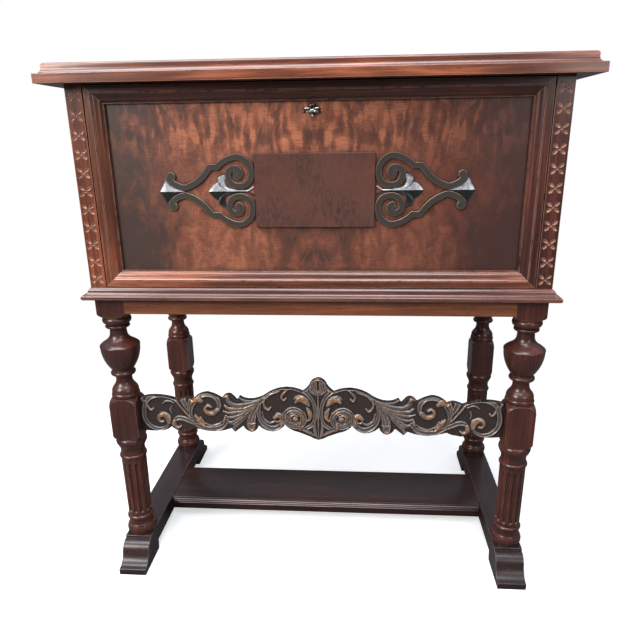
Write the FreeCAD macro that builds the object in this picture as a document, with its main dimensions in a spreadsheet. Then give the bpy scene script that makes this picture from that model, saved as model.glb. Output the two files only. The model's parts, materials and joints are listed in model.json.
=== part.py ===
import FreeCAD, Part
import math
import os
import re
import Sketcher

# Vargueno: a fall-front writing cabinet on a stand of four turned and fluted legs.
# Millimetres. The origin is on the floor under the middle of the desk,
# +X to the sitter's right, -Y towards the sitter, +Z up.

SIZES = {
    # The whole desk
    "cabinet_width": 862.0,
    "cabinet_depth": 434.0,
    "cabinet_height": 360.0,
    "stand_height": 605.0,
    "base_height": 22.0,
    "slab_height": 33.0,

    # Legs: square blocks with turned lengths between them
    "leg_block": 55.0,
    "leg_inset": 2.5,
    "lower_block_bottom": 296.0,
    "lower_block_height": 92.0,
    "upper_block_height": 40.0,
    "block_top_shoulder": 21.0,
    "block_low_shoulder": 11.0,
    "block_high_shoulder": 8.0,
    "flute_count": 12.0,
    "flute_radius": 4.6,
    "flute_proud": 0.8,
    "flute_low_margin": 9.0,
    "flute_high_margin": 9.0,

    # Foot runners under each pair of legs
    "runner_width": 58.0,
    "runner_height": 61.0,
    "runner_half_length": 267.0,
    "runner_arch": 22.0,
    "pad_length": 88.0,
    "toe_height": 14.0,
    "toe_reach": 46.0,
    "runner_step": 5.5,

    # Shelf between the runners
    "shelf_depth": 136.0,
    "shelf_height": 35.0,
    "shelf_bottom": 23.5,
    "shelf_offset": 4.0,
    "shelf_nosing": 20.0,
    "shelf_nosing_step": 5.0,
    "shelf_reed": 6.0,

    # Aprons between the upper blocks
    "apron_height": 32.0,
    "apron_thickness": 20.0,
    "apron_inset": 1.0,

    # Carved stretcher between the front legs
    "stretcher_bottom": 294.7,
    "stretcher_height": 137.8,
    "stretcher_thickness": 16.0,

    # Moulding between stand and cabinet
    "base_overhang": 16.0,
    "base_reach": 36.0,

    # Cabinet case
    "post_width": 30.0,
    "post_depth": 34.0,
    "stop_lip": 6.0,
    "stop_clearance": 0.3,
    "side_inset": 2.0,
    "side_thickness": 20.0,
    "back_thickness": 8.0,
    "back_inset": 2.0,
    "floor_thickness": 18.0,
    "floor_set_back": 27.0,
    "bearer_depth": 20.0,
    "slab_overhang": 36.0,
    "slab_back_overhang": 12.0,
    "slab_fascia": 16.0,
    "slab_edge_step": 3.5,
    "slab_cove_run": 8.0,
    "slab_cove_rise": 8.5,
    "slab_top_run": 4.8,
    "slab_top_bead": 4.5,

    # Fall front
    "fall_recess": 1.0,
    "fall_thickness": 22.0,
    "fall_side_gap": 2.0,
    "fall_low_gap": 1.5,
    "fall_high_gap": 1.5,
    "frame_flat": 11.4,
    "frame_quirk": 1.5,
    "frame_ogee": 14.0,
    "frame_bead": 3.1,
    "frame_drop": 9.5,
    "frame_panel_depth": 16.0,
    "panel_rebate": 12.0,
    "tablet_width": 215.0,
    "tablet_height": 130.5,
    "tablet_thickness": 5.0,
    "tablet_low": 3.0,

    # Scroll frets beside the tablet
    "fret_length": 160.0,
    "fret_rise": 60.0,
    "fret_band": 10.6,
    "fret_thickness": 4.0,
    "leaf_thickness": 3.0,

    # Pivots at the two lower ends of the fall
    "pivot_in": 5.0,
    "pivot_up": 11.0,
    "pin_radius": 2.5,
    "pin_length": 9.0,
    "pin_clearance": 0.05,
    "hole_clearance": 0.1,
    "leaf_plate_thickness": 2.0,
    "leaf_plate_width": 12.0,
    "leaf_plate_front": 1.0,
    "leaf_plate_low": 3.5,
    "leaf_plate_length": 58.0,

    # Brass quadrants that hold the open fall level
    "quadrant_radius": 100.0,
    "quadrant_band": 8.0,
    "quadrant_thickness": 3.0,
    "quadrant_inset": 10.0,
    "quadrant_tail_angle": 3.5,
    "quadrant_foot_width": 12.0,
    "quadrant_foot_length": 40.0,
    "quadrant_foot_plate": 2.0,
    "stop_pin_radius": 3.0,
    "stop_pin_length": 7.0,
    "keeper_gap": 4.0,
    "keeper_thickness": 4.0,
    "keeper_height": 22.0,
    "keeper_reach": 13.0,
    "slide_clearance": 0.5,
    "keeper_clearance": 1.0,
    "slot_width": 9.0,
    "slot_length": 16.0,

    # Lock, key and strike
    "key_height": 44.0,
    "lock_width": 64.0,
    "lock_height": 62.0,
    "lock_depth": 10.5,
    "bolt_width": 30.0,
    "bolt_length": 26.0,
    "bolt_thickness": 4.0,
    "bolt_clearance": 0.3,
    "strike_clearance": 0.6,
    "bolt_wall": 1.3,
    "bolt_rest": 0.5,
    "key_well_radius": 9.5,
    "key_well_depth": 5.0,
    "key_stem_radius": 2.4,
    "key_stem_length": 46.0,
    "key_bit_length": 7.6,
    "key_bit_height": 3.0,
    "key_bit_width": 3.6,
    "key_end_gap": 1.2,
    "key_bow_length": 13.0,
    "key_bow_radius": 4.8,
    "key_bow_wire": 1.6,
    "key_bow_offset": 1.2,
    "key_collar_radius": 3.6,
    "key_collar_length": 4.8,
    "keyhole_radius": 4.0,
    "escutcheon_radius": 11.0,
    "escutcheon_height": 3.4,
    "strike_width": 50.0,
    "strike_depth": 16.0,
    "strike_thickness": 1.5,
    "mortise_depth": 11.0,

    # Writing gallery inside the cabinet
    "gallery_depth": 200.0,
    "gallery_height": 232.0,
    "gallery_board": 10.0,
    "gallery_bay": 135.0,
    "gallery_gap": 2.0,
    "drawer_height": 78.0,
    "drawer_gap": 0.75,
    "drawer_length": 186.0,
    "drawer_front": 14.0,
    "drawer_wall": 8.0,
    "drawer_bottom": 5.0,
    "knob_radius": 9.0,
    "knob_length": 17.0,
    "partition_thickness": 6.0,
    "partition_share": 0.34,

    # How far a cutting shape runs past the piece that it cuts
    "overrun": 5.0,
}

# Turned outlines, as shares: radius of half a block, height of the turned length,
# and the bulge of the arc that leads to the next point (0 for a straight line).
SHAFT_SHARES = [
    (1.036, 0.000, 0.0), (1.036, 0.013, 0.28), (1.036, 0.089, 0.0), (0.964, 0.089, 0.0),
    (0.964, 0.098, -0.25), (0.902, 0.128, 0.0), (0.902, 0.157, 0.0), (0.938, 0.157, 0.50),
    (0.938, 0.196, 0.0), (0.905, 0.196, 0.0), (0.942, 0.800, 0.0), (0.960, 0.800, 0.50),
    (0.960, 0.834, 0.0), (0.931, 0.834, 0.0), (0.931, 0.847, -0.22), (1.055, 0.928, 0.0),
    (1.073, 0.936, 0.34), (1.073, 0.996, 0.0), (0.990, 1.000, 0.0),
]
VASE_SHARES = [
    (0.990, 0.000, 0.0), (0.967, 0.003, 0.36), (0.967, 0.062, 0.0), (0.909, 0.062, 0.0),
    (0.909, 0.073, 0.0), (0.982, 0.079, 0.16), (0.818, 0.141, -0.18), (0.589, 0.220, 0.0),
    (0.582, 0.272, 0.0), (0.818, 0.282, 0.55), (0.818, 0.328, 0.0), (0.745, 0.336, 0.0),
    (0.745, 0.342, 0.17), (1.411, 0.627, 0.40), (1.375, 0.653, 0.05), (1.091, 0.686, -0.08),
    (0.782, 0.723, -0.18), (0.611, 0.785, 0.0), (0.582, 0.845, 0.0), (0.818, 0.856, 0.55),
    (0.818, 0.887, 0.0), (0.745, 0.893, 0.0), (0.745, 0.904, 0.0), (0.927, 0.912, 0.45),
    (0.927, 0.980, 0.0), (0.982, 0.989, 0.0), (0.982, 1.000, 0.0),
]

# Half outline of the carved stretcher from its crown to its end, then back below,
# as shares of its half length and its height, with the bulge to the next point.
STRETCHER_SHARES = [
    (0.000, 1.000, -0.30), (0.048, 0.890, 0.10), (0.086, 0.782, -0.12), (0.174, 0.836, -0.14),
    (0.281, 0.740, 0.16), (0.375, 0.638, 0.18), (0.436, 0.691, 0.00), (0.451, 0.622, 0.00),
    (0.470, 0.680, -0.45), (0.520, 0.702, 0.00), (0.537, 0.648, -0.10), (0.613, 0.741, -0.22),
    (0.697, 0.630, -0.25), (0.755, 0.640, 0.00), (0.782, 0.612, -0.08), (0.867, 0.673, -0.10),
    (0.982, 0.658, -0.30), (1.000, 0.620, 0.00), (1.000, 0.115, -0.08), (0.898, 0.103, -0.22),
    (0.829, 0.177, -0.35), (0.755, 0.118, -0.12), (0.701, 0.163, -0.06), (0.598, 0.107, -0.10),
    (0.489, 0.167, 0.00), (0.468, 0.106, 0.00), (0.420, 0.212, -0.30), (0.373, 0.111, -0.30),
    (0.334, 0.226, -0.24), (0.252, 0.127, -0.24), (0.186, 0.247, -0.20), (0.114, 0.126, 0.00),
    (0.047, 0.053, -0.10), (0.000, 0.000, 0.00),
]

# Middle line of one scroll band, from the eye of its spiral to its outer curl,
# as shares of the fret's length and rise, with the bulge to the next point.
FRET_LINE_SHARES = [
    (0.194, 0.417, 0.50), (0.169, 0.550, 0.50), (0.222, 0.667, 0.50), (0.303, 0.442, 0.45),
    (0.166, 0.155, 0.45), (0.039, 0.550, 0.42), (0.213, 1.000, 0.16), (0.422, 0.710, 0.00),
    (0.506, 0.710, 0.00), (0.563, 0.525, -0.16), (0.806, 0.110, -0.20), (0.978, 0.362, -0.60),
    (0.944, 0.450, 0.00),
]
# Carved leaves on the fret's axis, in the same shares.
INNER_LEAF_SHARES = [
    (0.531, 0.000, -0.10), (0.410, 0.250, 0.30), (0.360, 0.450, 0.00), (0.270, 0.300, 0.00),
    (0.160, 0.080, 0.00), (0.010, 0.120, 0.00), (0.010, 0.000, 0.00),
]
OUTER_LEAF_SHARES = [
    (1.090, 0.000, 0.00), (1.018, 0.370, 0.20), (0.860, 0.070, 0.00), (0.800, 0.000, 0.00),
]

# Wave of a runner's toe, as shares of the toe's reach and of its fall, then the
# shares of the toe's height by which its nose is rounded and its arch springs
TOE_WAVE_SHARES = [(0.42, 0.45, 0.25), (0.82, 0.00, 0.00)]
NOSE_IN_SHARE = 0.14
NOSE_UP_SHARE = 0.80
ARCH_SPRING_SHARE = 0.20

# Edge of the shelf from its top down, as shares of the nosing's step and of one reed
NOSING_SHARES = [(0.50, 0.0, -0.40), (0.00, 1.0, 0.00), (0.333, 1.0, 0.00), (0.333, 1.3, -0.55),
                 (0.333, 2.4, 0.30)]

# Moulding under the cabinet, as shares of its overhang and its height
BASE_PROFILE_SHARES = [
    (0.90, 0.00, 0.00), (1.00, 0.08, 0.00), (1.00, 0.28, 0.45), (0.80, 0.39, 0.00),
    (0.70, 0.39, -0.40), (0.34, 0.64, 0.00), (0.34, 0.71, 0.30), (0.03, 1.00, 0.00),
]

# Where the frame's ogee starts above the quirk, and where it turns
OGEE_LIP_SHARE = 0.333
OGEE_RUN_SHARE = 0.50
OGEE_DROP_SHARE = 0.45

# Drawer knob, as shares of its radius and its length
KNOB_SHARES = [
    (0.00, 0.00, 0.00), (0.65, 0.00, 0.00), (0.65, 0.10, 0.30), (0.40, 0.35, 0.00),
    (0.40, 0.45, 0.00), (1.00, 0.65, -0.25), (0.60, 1.00, 0.00), (0.00, 1.00, 0.00),
]

# Dome of the escutcheon, and how far a quadrant's head sinks in its foot plate
DOME_RIM_SHARE = 0.30
DOME_EYE_SHARE = 1.50
QUADRANT_SEAT_SHARE = 0.20

# Bulges of arcs: a quarter circle, the shoulder of a leg's block, and an arc whose
# radius is named, where the bulge only gives the side
QUARTER_BULGE = 0.41421356
SHOULDER_BULGE = 0.35
NAMED_BULGE = 0.40

# Places worked out once from the sizes
CABINET_X = "(cabinet_width / 2)"
CABINET_Y = "(cabinet_depth / 2)"
HALF_BLOCK = "(leg_block / 2)"
LEG_X = f"({CABINET_X} - leg_inset - {HALF_BLOCK})"
LEG_Y = f"({CABINET_Y} - leg_inset - {HALF_BLOCK})"
BLOCK_TOP = "(lower_block_bottom + lower_block_height)"
UPPER_BLOCK_BOTTOM = "(stand_height - upper_block_height)"
CASE_BOTTOM = "(stand_height + base_height)"
CASE_TOP = f"({CASE_BOTTOM} + cabinet_height)"
DESK_TOP = f"({CASE_TOP} + slab_height)"
RUNNER_INNER = f"({LEG_X} - runner_width / 2)"
POST_INNER = f"({CABINET_X} - post_width)"
SIDE_OUTER = f"({CABINET_X} - side_inset)"
SIDE_INNER = f"({SIDE_OUTER} - side_thickness)"
POST_BACK = f"(-{CABINET_Y} + post_depth)"
BACK_REAR = f"({CABINET_Y} - back_inset)"
BACK_FRONT = f"({BACK_REAR} - back_thickness)"
FALL_FRONT = f"(-{CABINET_Y} + fall_recess)"
FALL_BACK = f"({FALL_FRONT} + fall_thickness)"
FALL_X = f"({POST_INNER} - fall_side_gap)"
FALL_BOTTOM = f"({CASE_BOTTOM} + fall_low_gap)"
FALL_TOP = f"({CASE_TOP} - fall_high_gap)"
PANEL_FRONT = f"({FALL_FRONT} + frame_panel_depth)"
PIVOT_Y = f"({FALL_FRONT} + pivot_in)"
PIVOT_Z = f"({FALL_BOTTOM} + pivot_up)"
FLOOR_FRONT = f"(-{CABINET_Y} + floor_set_back)"
FLOOR_TOP = f"({PIVOT_Z} + fall_thickness - pivot_in)"
FLOOR_BOTTOM = f"({FLOOR_TOP} - floor_thickness)"
FRAME_WIDTH = "(frame_flat + frame_quirk + frame_ogee + frame_bead)"
FRAME_REBATE = f"({FRAME_WIDTH} - panel_rebate)"
FALL_MIDDLE = f"(({FALL_BOTTOM} + {FALL_TOP}) / 2)"
TABLET_MIDDLE = f"({FALL_MIDDLE} - tablet_low)"
KEY_Z = f"({FALL_TOP} - key_height)"
GALLERY_FRONT = f"({BACK_FRONT} - gallery_gap - gallery_depth)"
GALLERY_BACK = f"({BACK_FRONT} - gallery_gap)"
GALLERY_TOP = f"({FLOOR_TOP} + gallery_height)"
DRAWER_ROOM = f"({FLOOR_TOP} + drawer_height + 2 * drawer_gap)"
QUADRANT_X = f"({POST_INNER} - quadrant_inset - stop_lip)"

doc = FreeCAD.newDocument("vargueno")
sizes = doc.addObject("Spreadsheet::Sheet", "sizes")
for row, (alias, number) in enumerate(SIZES.items(), start=1):
    sizes.set(f"A{row}", alias)
    sizes.set(f"B{row}", str(number))
    sizes.setAlias(f"B{row}", alias)
doc.recompute()

parts = []
SAME_SPOT = 0.0001


def bound(text):
    """The expression that reads each named size from the sheet."""
    return re.sub(r"[a-z_]+", lambda word: "sizes." + word[0] if word[0] in SIZES else word[0], str(text))


def number(text):
    return float(sizes.evalExpression(bound(text)))


def bind(item, **places):
    """Bind properties of an object; a double underscore stands for a dot."""
    for name, text in places.items():
        item.setExpression(name.replace("__", "."), bound(text))
    return item


def minus(text):
    return f"(-({text}))"


def part(item, name):
    item.Label = name
    parts.append(item)
    return item


def across(span, side):
    """A span of X on the right-hand side, or its mirror image on the left."""
    low, high = span
    return (low, high) if side > 0 else (minus(high), minus(low))


def board(name, x_span, y_span, z_span, side=1):
    """A square-edged board between named places."""
    x_low, x_high = across(x_span, side)
    box = doc.addObject("Part::Box", name)
    bind(box, Length=f"({x_high}) - ({x_low})", Width=f"({y_span[1]}) - ({y_span[0]})",
         Height=f"({z_span[1]}) - ({z_span[0]})", Placement__Base__x=x_low,
         Placement__Base__y=y_span[0], Placement__Base__z=z_span[0])
    return box


def rod(name, axis, centre, radius, start, length):
    """A cylinder along one axis; centre gives the other two places in X, Y, Z order."""
    cylinder = doc.addObject("Part::Cylinder", name)
    turn, places = {
        "x": (FreeCAD.Rotation(FreeCAD.Vector(0, 1, 0), 90), (start, *centre)),
        "y": (FreeCAD.Rotation(FreeCAD.Vector(1, 0, 0), -90), (centre[0], start, centre[1])),
        "z": (FreeCAD.Rotation(), (*centre, start)),
    }[axis]
    cylinder.Placement = FreeCAD.Placement(FreeCAD.Vector(), turn)
    bind(cylinder, Radius=radius, Height=length, Placement__Base__x=places[0],
         Placement__Base__y=places[1], Placement__Base__z=places[2])
    return cylinder


def mirrored(half, flip):
    """A half outline, then its mirror image walked back; a point on the axis counts once."""
    back = []
    for index in range(len(half) - 1, -1, -1):
        u, v, _ = half[index]
        back.append((*flip(u, v), half[index - 1][2] if index else 0))
    if same_spot(half[-1], back[0]):
        half = half[:-1] + [(half[-1][0], half[-1][1], back[0][2])]
        back = back[1:]
    if same_spot(half[0], back[-1]):
        back = back[:-1]
    return half + back


def same_spot(one, other):
    return all(number(f"abs(({one[axis]}) - ({other[axis]}))") < SAME_SPOT for axis in (0, 1))


def left_right(u, v):
    return minus(u), v


def draw(sketch, points, closed=True):
    """Draw an outline whose every corner is held at a named place.

    Each point is (u, v), (u, v, bulge) or (u, v, bulge, radius). The bulge is that of
    the arc to the next point: the arc's height as a share of half its chord, positive
    when the arc turns to the left. A radius that is named wins over the bulge's own.
    """
    corners = [(str(point[0]), str(point[1]), point[2] if len(point) > 2 else 0) for point in points]
    named_radii = [point[3] if len(point) > 3 else None for point in points]
    count = len(corners) if closed else len(corners) - 1
    spots = [FreeCAD.Vector(number(u), number(v), 0) for u, v, _ in corners]
    ends = []
    for index in range(count):
        here = spots[index]
        there = spots[(index + 1) % len(spots)]
        bulge = corners[index][2]
        if bulge:
            chord = there - here
            middle = (here + there) * 0.5 + FreeCAD.Vector(chord.y, -chord.x, 0) * (bulge / 2)
            drawn = sketch.addGeometry(Part.Arc(here, middle, there), False)
        else:
            drawn = sketch.addGeometry(Part.LineSegment(here, there), False)
        forward = (sketch.getPoint(drawn, 1) - here).Length < (sketch.getPoint(drawn, 2) - here).Length
        first = 1 if forward else 2
        ends.append((drawn, first, 3 - first))
    held = []
    for index in range(len(spots)):
        if index < count:
            line, first, _ = ends[index]
        else:
            line, first = ends[index - 1][0], ends[index - 1][2]
        for kind, place, value in (("DistanceX", corners[index][0], spots[index].x),
                                   ("DistanceY", corners[index][1], spots[index].y)):
            held.append((Sketcher.Constraint(kind, -1, 1, line, first, value), place))
        if closed or 0 < index < count:
            before, _, last = ends[index - 1]
            if index < count:
                held.append((Sketcher.Constraint("Coincident", before, last, line, first), None))
    for index in range(count):
        bulge = corners[index][2]
        radius = named_radii[index]
        if radius:
            held.append((Sketcher.Constraint("Radius", ends[index][0], number(radius)), radius))
        elif bulge:
            sweep = 4 * math.atan(abs(bulge))
            held.append((Sketcher.Constraint("Angle", ends[index][0], sweep), None))
    sketch.addConstraint([constraint for constraint, _ in held])
    for index, (_, place) in enumerate(held):
        if place is not None:
            sketch.setExpression(f"Constraints[{index}]", bound(place))
    return sketch


def body_sketch(body, plane, start="0"):
    """A sketch on one of the body's own origin planes, moved along that plane's normal."""
    sketch = body.newObject("Sketcher::SketchObject", body.Name + "_sketch")
    origin = [item for item in body.Origin.OriginFeatures if item.Role == plane + "_Plane"][0]
    sketch.AttachmentSupport = (origin, [""])
    sketch.MapMode = "FlatFace"
    sketch.setExpression("AttachmentOffset.Base.z", bound(minus(start) if plane == "XZ" else start))
    return sketch


def pad(body, plane, points, span):
    """Add the outline, pulled along the plane's third axis over the span."""
    sketch = draw(body_sketch(body, plane, span[0]), points)
    feature = body.newObject("PartDesign::Pad", body.Name + "_pad")
    feature.Profile = sketch
    feature.Reversed = plane == "XZ"
    bind(feature, Length=f"({span[1]}) - ({span[0]})")
    return feature


def prism(name, plane, points, span):
    body = doc.addObject("PartDesign::Body", name)
    pad(body, plane, points, span)
    return body


def turned(body, plane, points):
    """Add a revolved outline; its first axis is the radius and its second the axis."""
    sketch = draw(body_sketch(body, plane), points)
    feature = body.newObject("PartDesign::Revolution", body.Name + "_turning")
    feature.Profile = sketch
    feature.ReferenceAxis = (sketch, ["V_Axis"])
    feature.Angle = 360
    return feature


def rectangle(u_span, v_span):
    return [(u_span[0], v_span[0]), (u_span[1], v_span[0]), (u_span[1], v_span[1]), (u_span[0], v_span[1])]


def joined(kind, name, base, *tools):
    """Cut tools from a base, or join them, or keep what they share."""
    tool = tools[0]
    if len(tools) > 1:
        tool = doc.addObject("Part::MultiFuse", name + "_tools")
        tool.Shapes = list(tools)
    result = doc.addObject("Part::" + kind, name)
    result.Base = base
    result.Tool = tool
    return result


def mirror_copy(name, source, normal, base_z="0"):
    copy = doc.addObject("Part::Mirroring", name)
    copy.Source = source
    copy.Normal = normal
    copy.setExpression("Base.z", bound(base_z))
    return copy


def shares_to_points(shares, u_size, v_size, v_start="0"):
    return [(f"{u} * ({u_size})", f"({v_start}) + {v} * ({v_size})", bulge) for u, v, bulge in shares]


# Legs: turned and fluted, with square blocks left for the joints
def leg(name):
    body = doc.addObject("PartDesign::Body", name)
    shaft = shares_to_points(SHAFT_SHARES, HALF_BLOCK, "lower_block_bottom - runner_height", "runner_height")
    vase = shares_to_points(VASE_SHARES, HALF_BLOCK, f"{UPPER_BLOCK_BOTTOM} - {BLOCK_TOP}", BLOCK_TOP)
    turned(body, "XZ", [("0", "runner_height", 0)] + shaft + [("0", "lower_block_bottom", 0)])
    doc.recompute()
    square = rectangle((minus(HALF_BLOCK), HALF_BLOCK), (minus(HALF_BLOCK), HALF_BLOCK))
    pad(body, "XY", square, ("lower_block_bottom", BLOCK_TOP))
    turned(body, "XZ", [("0", BLOCK_TOP, 0)] + vase + [("0", UPPER_BLOCK_BOTTOM, 0)])
    pad(body, "XY", square, (UPPER_BLOCK_BOTTOM, "stand_height"))

    # The lathe rounds the corners of each block where the turning starts
    corner = f"({HALF_BLOCK} * sqrt(2))"
    beyond = f"({corner} + overrun)"
    for edge, reach, bulge in ((BLOCK_TOP, minus("block_top_shoulder"), -SHOULDER_BULGE),
                               ("lower_block_bottom", "block_low_shoulder", SHOULDER_BULGE),
                               (UPPER_BLOCK_BOTTOM, "block_high_shoulder", SHOULDER_BULGE)):
        rounding = [(HALF_BLOCK, edge, bulge), (corner, f"{edge} + {reach}", 0),
                    (beyond, f"{edge} + {reach}", 0), (beyond, edge, 0)]
        sketch = draw(body_sketch(body, "XZ"), rounding)
        groove = body.newObject("PartDesign::Groove", name + "_shoulder")
        groove.Profile = sketch
        groove.ReferenceAxis = (sketch, ["V_Axis"])
        groove.Angle = 360

    # Round-ended flutes along the lower shaft
    shaft_height = "(lower_block_bottom - runner_height)"
    low = f"(runner_height + {SHAFT_SHARES[9][1]} * {shaft_height} + flute_low_margin)"
    high = f"(runner_height + {SHAFT_SHARES[10][1]} * {shaft_height} - flute_high_margin)"
    low_axis = f"({SHAFT_SHARES[9][0]} * {HALF_BLOCK} + flute_proud)"
    high_axis = f"({SHAFT_SHARES[10][0]} * {HALF_BLOCK} + flute_proud)"
    sketch = draw(body_sketch(body, "XZ"), [
        (low_axis, low, QUARTER_BULGE), (f"{low_axis} + flute_radius", f"{low} + flute_radius", 0),
        (f"{high_axis} + flute_radius", f"{high} - flute_radius", QUARTER_BULGE), (high_axis, high, 0)])
    flute = body.newObject("PartDesign::Groove", name + "_flute")
    flute.Profile = sketch
    flute.ReferenceAxis = (sketch, ["Edge4"])
    flute.Angle = 360
    doc.recompute()
    ring = body.newObject("PartDesign::PolarPattern", name + "_flutes")
    ring.Originals = [flute]
    ring.Axis = ([item for item in body.Origin.OriginFeatures if item.Role == "Z_Axis"][0], [""])
    ring.Angle = 360
    ring.setExpression("Occurrences", bound("flute_count"))
    body.Tip = ring
    bind(body, Placement__Base__x=minus(LEG_X), Placement__Base__y=minus(LEG_Y))
    return part(body, name)


first_leg = leg("front_left_leg")
second_leg = part(mirror_copy("rear_left_leg", first_leg, FreeCAD.Vector(0, 1, 0)), "rear_left_leg")
part(mirror_copy("front_right_leg", first_leg, FreeCAD.Vector(1, 0, 0)), "front_right_leg")
part(mirror_copy("rear_right_leg", second_leg, FreeCAD.Vector(1, 0, 0)), "rear_right_leg")


# Foot runners: a flat top under the legs and a scrolled toe at each end
def foot_runner(name, side):
    step_y = "(runner_half_length - toe_reach)"
    pad_y = "(runner_half_length - pad_length)"
    half = [
        (f"{step_y} - runner_step", "runner_height", 0),
        (f"{step_y} - runner_step", "runner_height - runner_step", 0),
        (step_y, "runner_height - runner_step", -0.32),
    ]
    half += [(f"{step_y} + toe_reach * {u}", f"toe_height + (runner_height - toe_height) * {v}", bulge)
             for u, v, bulge in TOE_WAVE_SHARES]
    half += [
        (f"runner_half_length - toe_height * {NOSE_IN_SHARE}", "toe_height", -0.35),
        ("runner_half_length", f"toe_height * {NOSE_UP_SHARE}", 0),
        ("runner_half_length", "0", 0),
        (pad_y, "0", -0.12),
        (f"{pad_y} - toe_height * {ARCH_SPRING_SHARE}", "runner_arch", 0),
    ]
    inner, outer = across((RUNNER_INNER, f"{RUNNER_INNER} + runner_width"), side)
    return part(prism(name, "YZ", mirrored(half, left_right), (inner, outer)), name)


foot_runner("left_foot_runner", -1)
foot_runner("right_foot_runner", 1)


# Shelf between the runners, with a reeded nosing on both long edges
def shelf():
    top = "(shelf_bottom + shelf_height)"
    edge = "(shelf_depth / 2)"
    step = f"({edge} - shelf_nosing_step)"
    low = f"({top} - shelf_nosing)"
    half = [(f"{edge} - shelf_nosing_step * {u}", f"{top} - shelf_reed * {v}", bulge)
            for u, v, bulge in NOSING_SHARES]
    half += [(step, low, 0), (step, "shelf_bottom", 0)]
    outline = [(f"shelf_offset + {u}", v, bulge) for u, v, bulge in mirrored(half, left_right)]
    return part(prism("shelf", "YZ", outline, (minus(RUNNER_INNER), RUNNER_INNER)), "shelf")


shelf()


# Aprons under the cabinet, between the upper blocks
APRON_Z = ("stand_height - apron_height", "stand_height")
APRON_OUT = f"({HALF_BLOCK} - apron_inset)"
BETWEEN_X = (f"-({LEG_X} - {HALF_BLOCK})", f"{LEG_X} - {HALF_BLOCK}")
BETWEEN_Y = (f"-({LEG_Y} - {HALF_BLOCK})", f"{LEG_Y} - {HALF_BLOCK}")
part(board("front_apron", BETWEEN_X,
           (f"-{LEG_Y} - {APRON_OUT}", f"-{LEG_Y} - {APRON_OUT} + apron_thickness"), APRON_Z), "front_apron")
part(board("rear_apron", BETWEEN_X,
           (f"{LEG_Y} + {APRON_OUT} - apron_thickness", f"{LEG_Y} + {APRON_OUT}"), APRON_Z), "rear_apron")
for word, side in (("left", -1), ("right", 1)):
    part(board(f"{word}_apron", (f"{LEG_X} + {APRON_OUT} - apron_thickness", f"{LEG_X} + {APRON_OUT}"),
               BETWEEN_Y, APRON_Z, side), f"{word}_apron")


# Carved stretcher between the front legs
def stretcher():
    half_length = f"{LEG_X} - {HALF_BLOCK}"
    half = shares_to_points(STRETCHER_SHARES, half_length, "stretcher_height", "stretcher_bottom")
    middle = minus(LEG_Y)
    span = (f"{middle} - stretcher_thickness / 2", f"{middle} + stretcher_thickness / 2")
    body = doc.addObject("PartDesign::Body", "carved_stretcher")
    right_half = pad(body, "XZ", half, span)
    doc.recompute()
    both = body.newObject("PartDesign::Mirrored", "carved_stretcher_halves")
    both.Originals = [right_half]
    both.MirrorPlane = ([item for item in body.Origin.OriginFeatures if item.Role == "YZ_Plane"][0], [""])
    body.Tip = both
    return part(body, "carved_stretcher")


stretcher()


# Base moulding: three mitred lengths and a plain rail at the back
def base_moulding(name, side):
    """One length of the moulding: the front for 0, the left end for -1, the right for 1."""
    profile = [("-base_reach", CASE_BOTTOM, 0), ("-base_reach", "stand_height", 0)]
    profile += [(f"base_overhang * {u}", f"stand_height + base_height * {v}", bulge)
                for u, v, bulge in BASE_PROFILE_SHARES]
    tip_x = f"({CABINET_X} + base_overhang)"
    tip_y = f"({CABINET_Y} + base_overhang)"
    inner_x = f"({CABINET_X} - base_reach)"
    inner_y = f"({CABINET_Y} - base_reach)"
    if side:
        bar = prism(name + "_bar", "XZ", [(f"{side} * ({CABINET_X} + ({u}))", v, side * bulge)
                                          for u, v, bulge in profile], (minus(tip_y), CABINET_Y))
        plan = [(f"{side} * {tip_x}", minus(tip_y)), (f"{side} * {tip_x}", CABINET_Y),
                (f"{side} * {inner_x}", CABINET_Y), (f"{side} * {inner_x}", minus(inner_y))]
    else:
        bar = prism(name + "_bar", "YZ", [(f"-{CABINET_Y} - ({u})", v, -bulge) for u, v, bulge in profile],
                    (minus(tip_x), tip_x))
        plan = [(minus(tip_x), minus(tip_y)), (tip_x, minus(tip_y)), (inner_x, minus(inner_y)),
                (minus(inner_x), minus(inner_y))]
    mitre = prism(name + "_mitre", "XY", plan, ("stand_height", CASE_BOTTOM))
    return part(joined("Common", name, bar, mitre), name)


base_moulding("front_base_moulding", 0)
base_moulding("left_base_moulding", -1)
base_moulding("right_base_moulding", 1)
part(board("rear_base_rail", (f"-({CABINET_X} - base_reach)", f"{CABINET_X} - base_reach"),
           (f"{CABINET_Y} - base_reach", CABINET_Y), ("stand_height", CASE_BOTTOM)), "rear_base_rail")


# Pivot plates and the mortises they sit in
PLATE_Y = (f"{FALL_FRONT} + leaf_plate_front", f"{FALL_FRONT} + leaf_plate_front + leaf_plate_width")
PLATE_Z = (f"{FALL_BOTTOM} + leaf_plate_low", f"{FALL_BOTTOM} + leaf_plate_low + leaf_plate_length")


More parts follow.
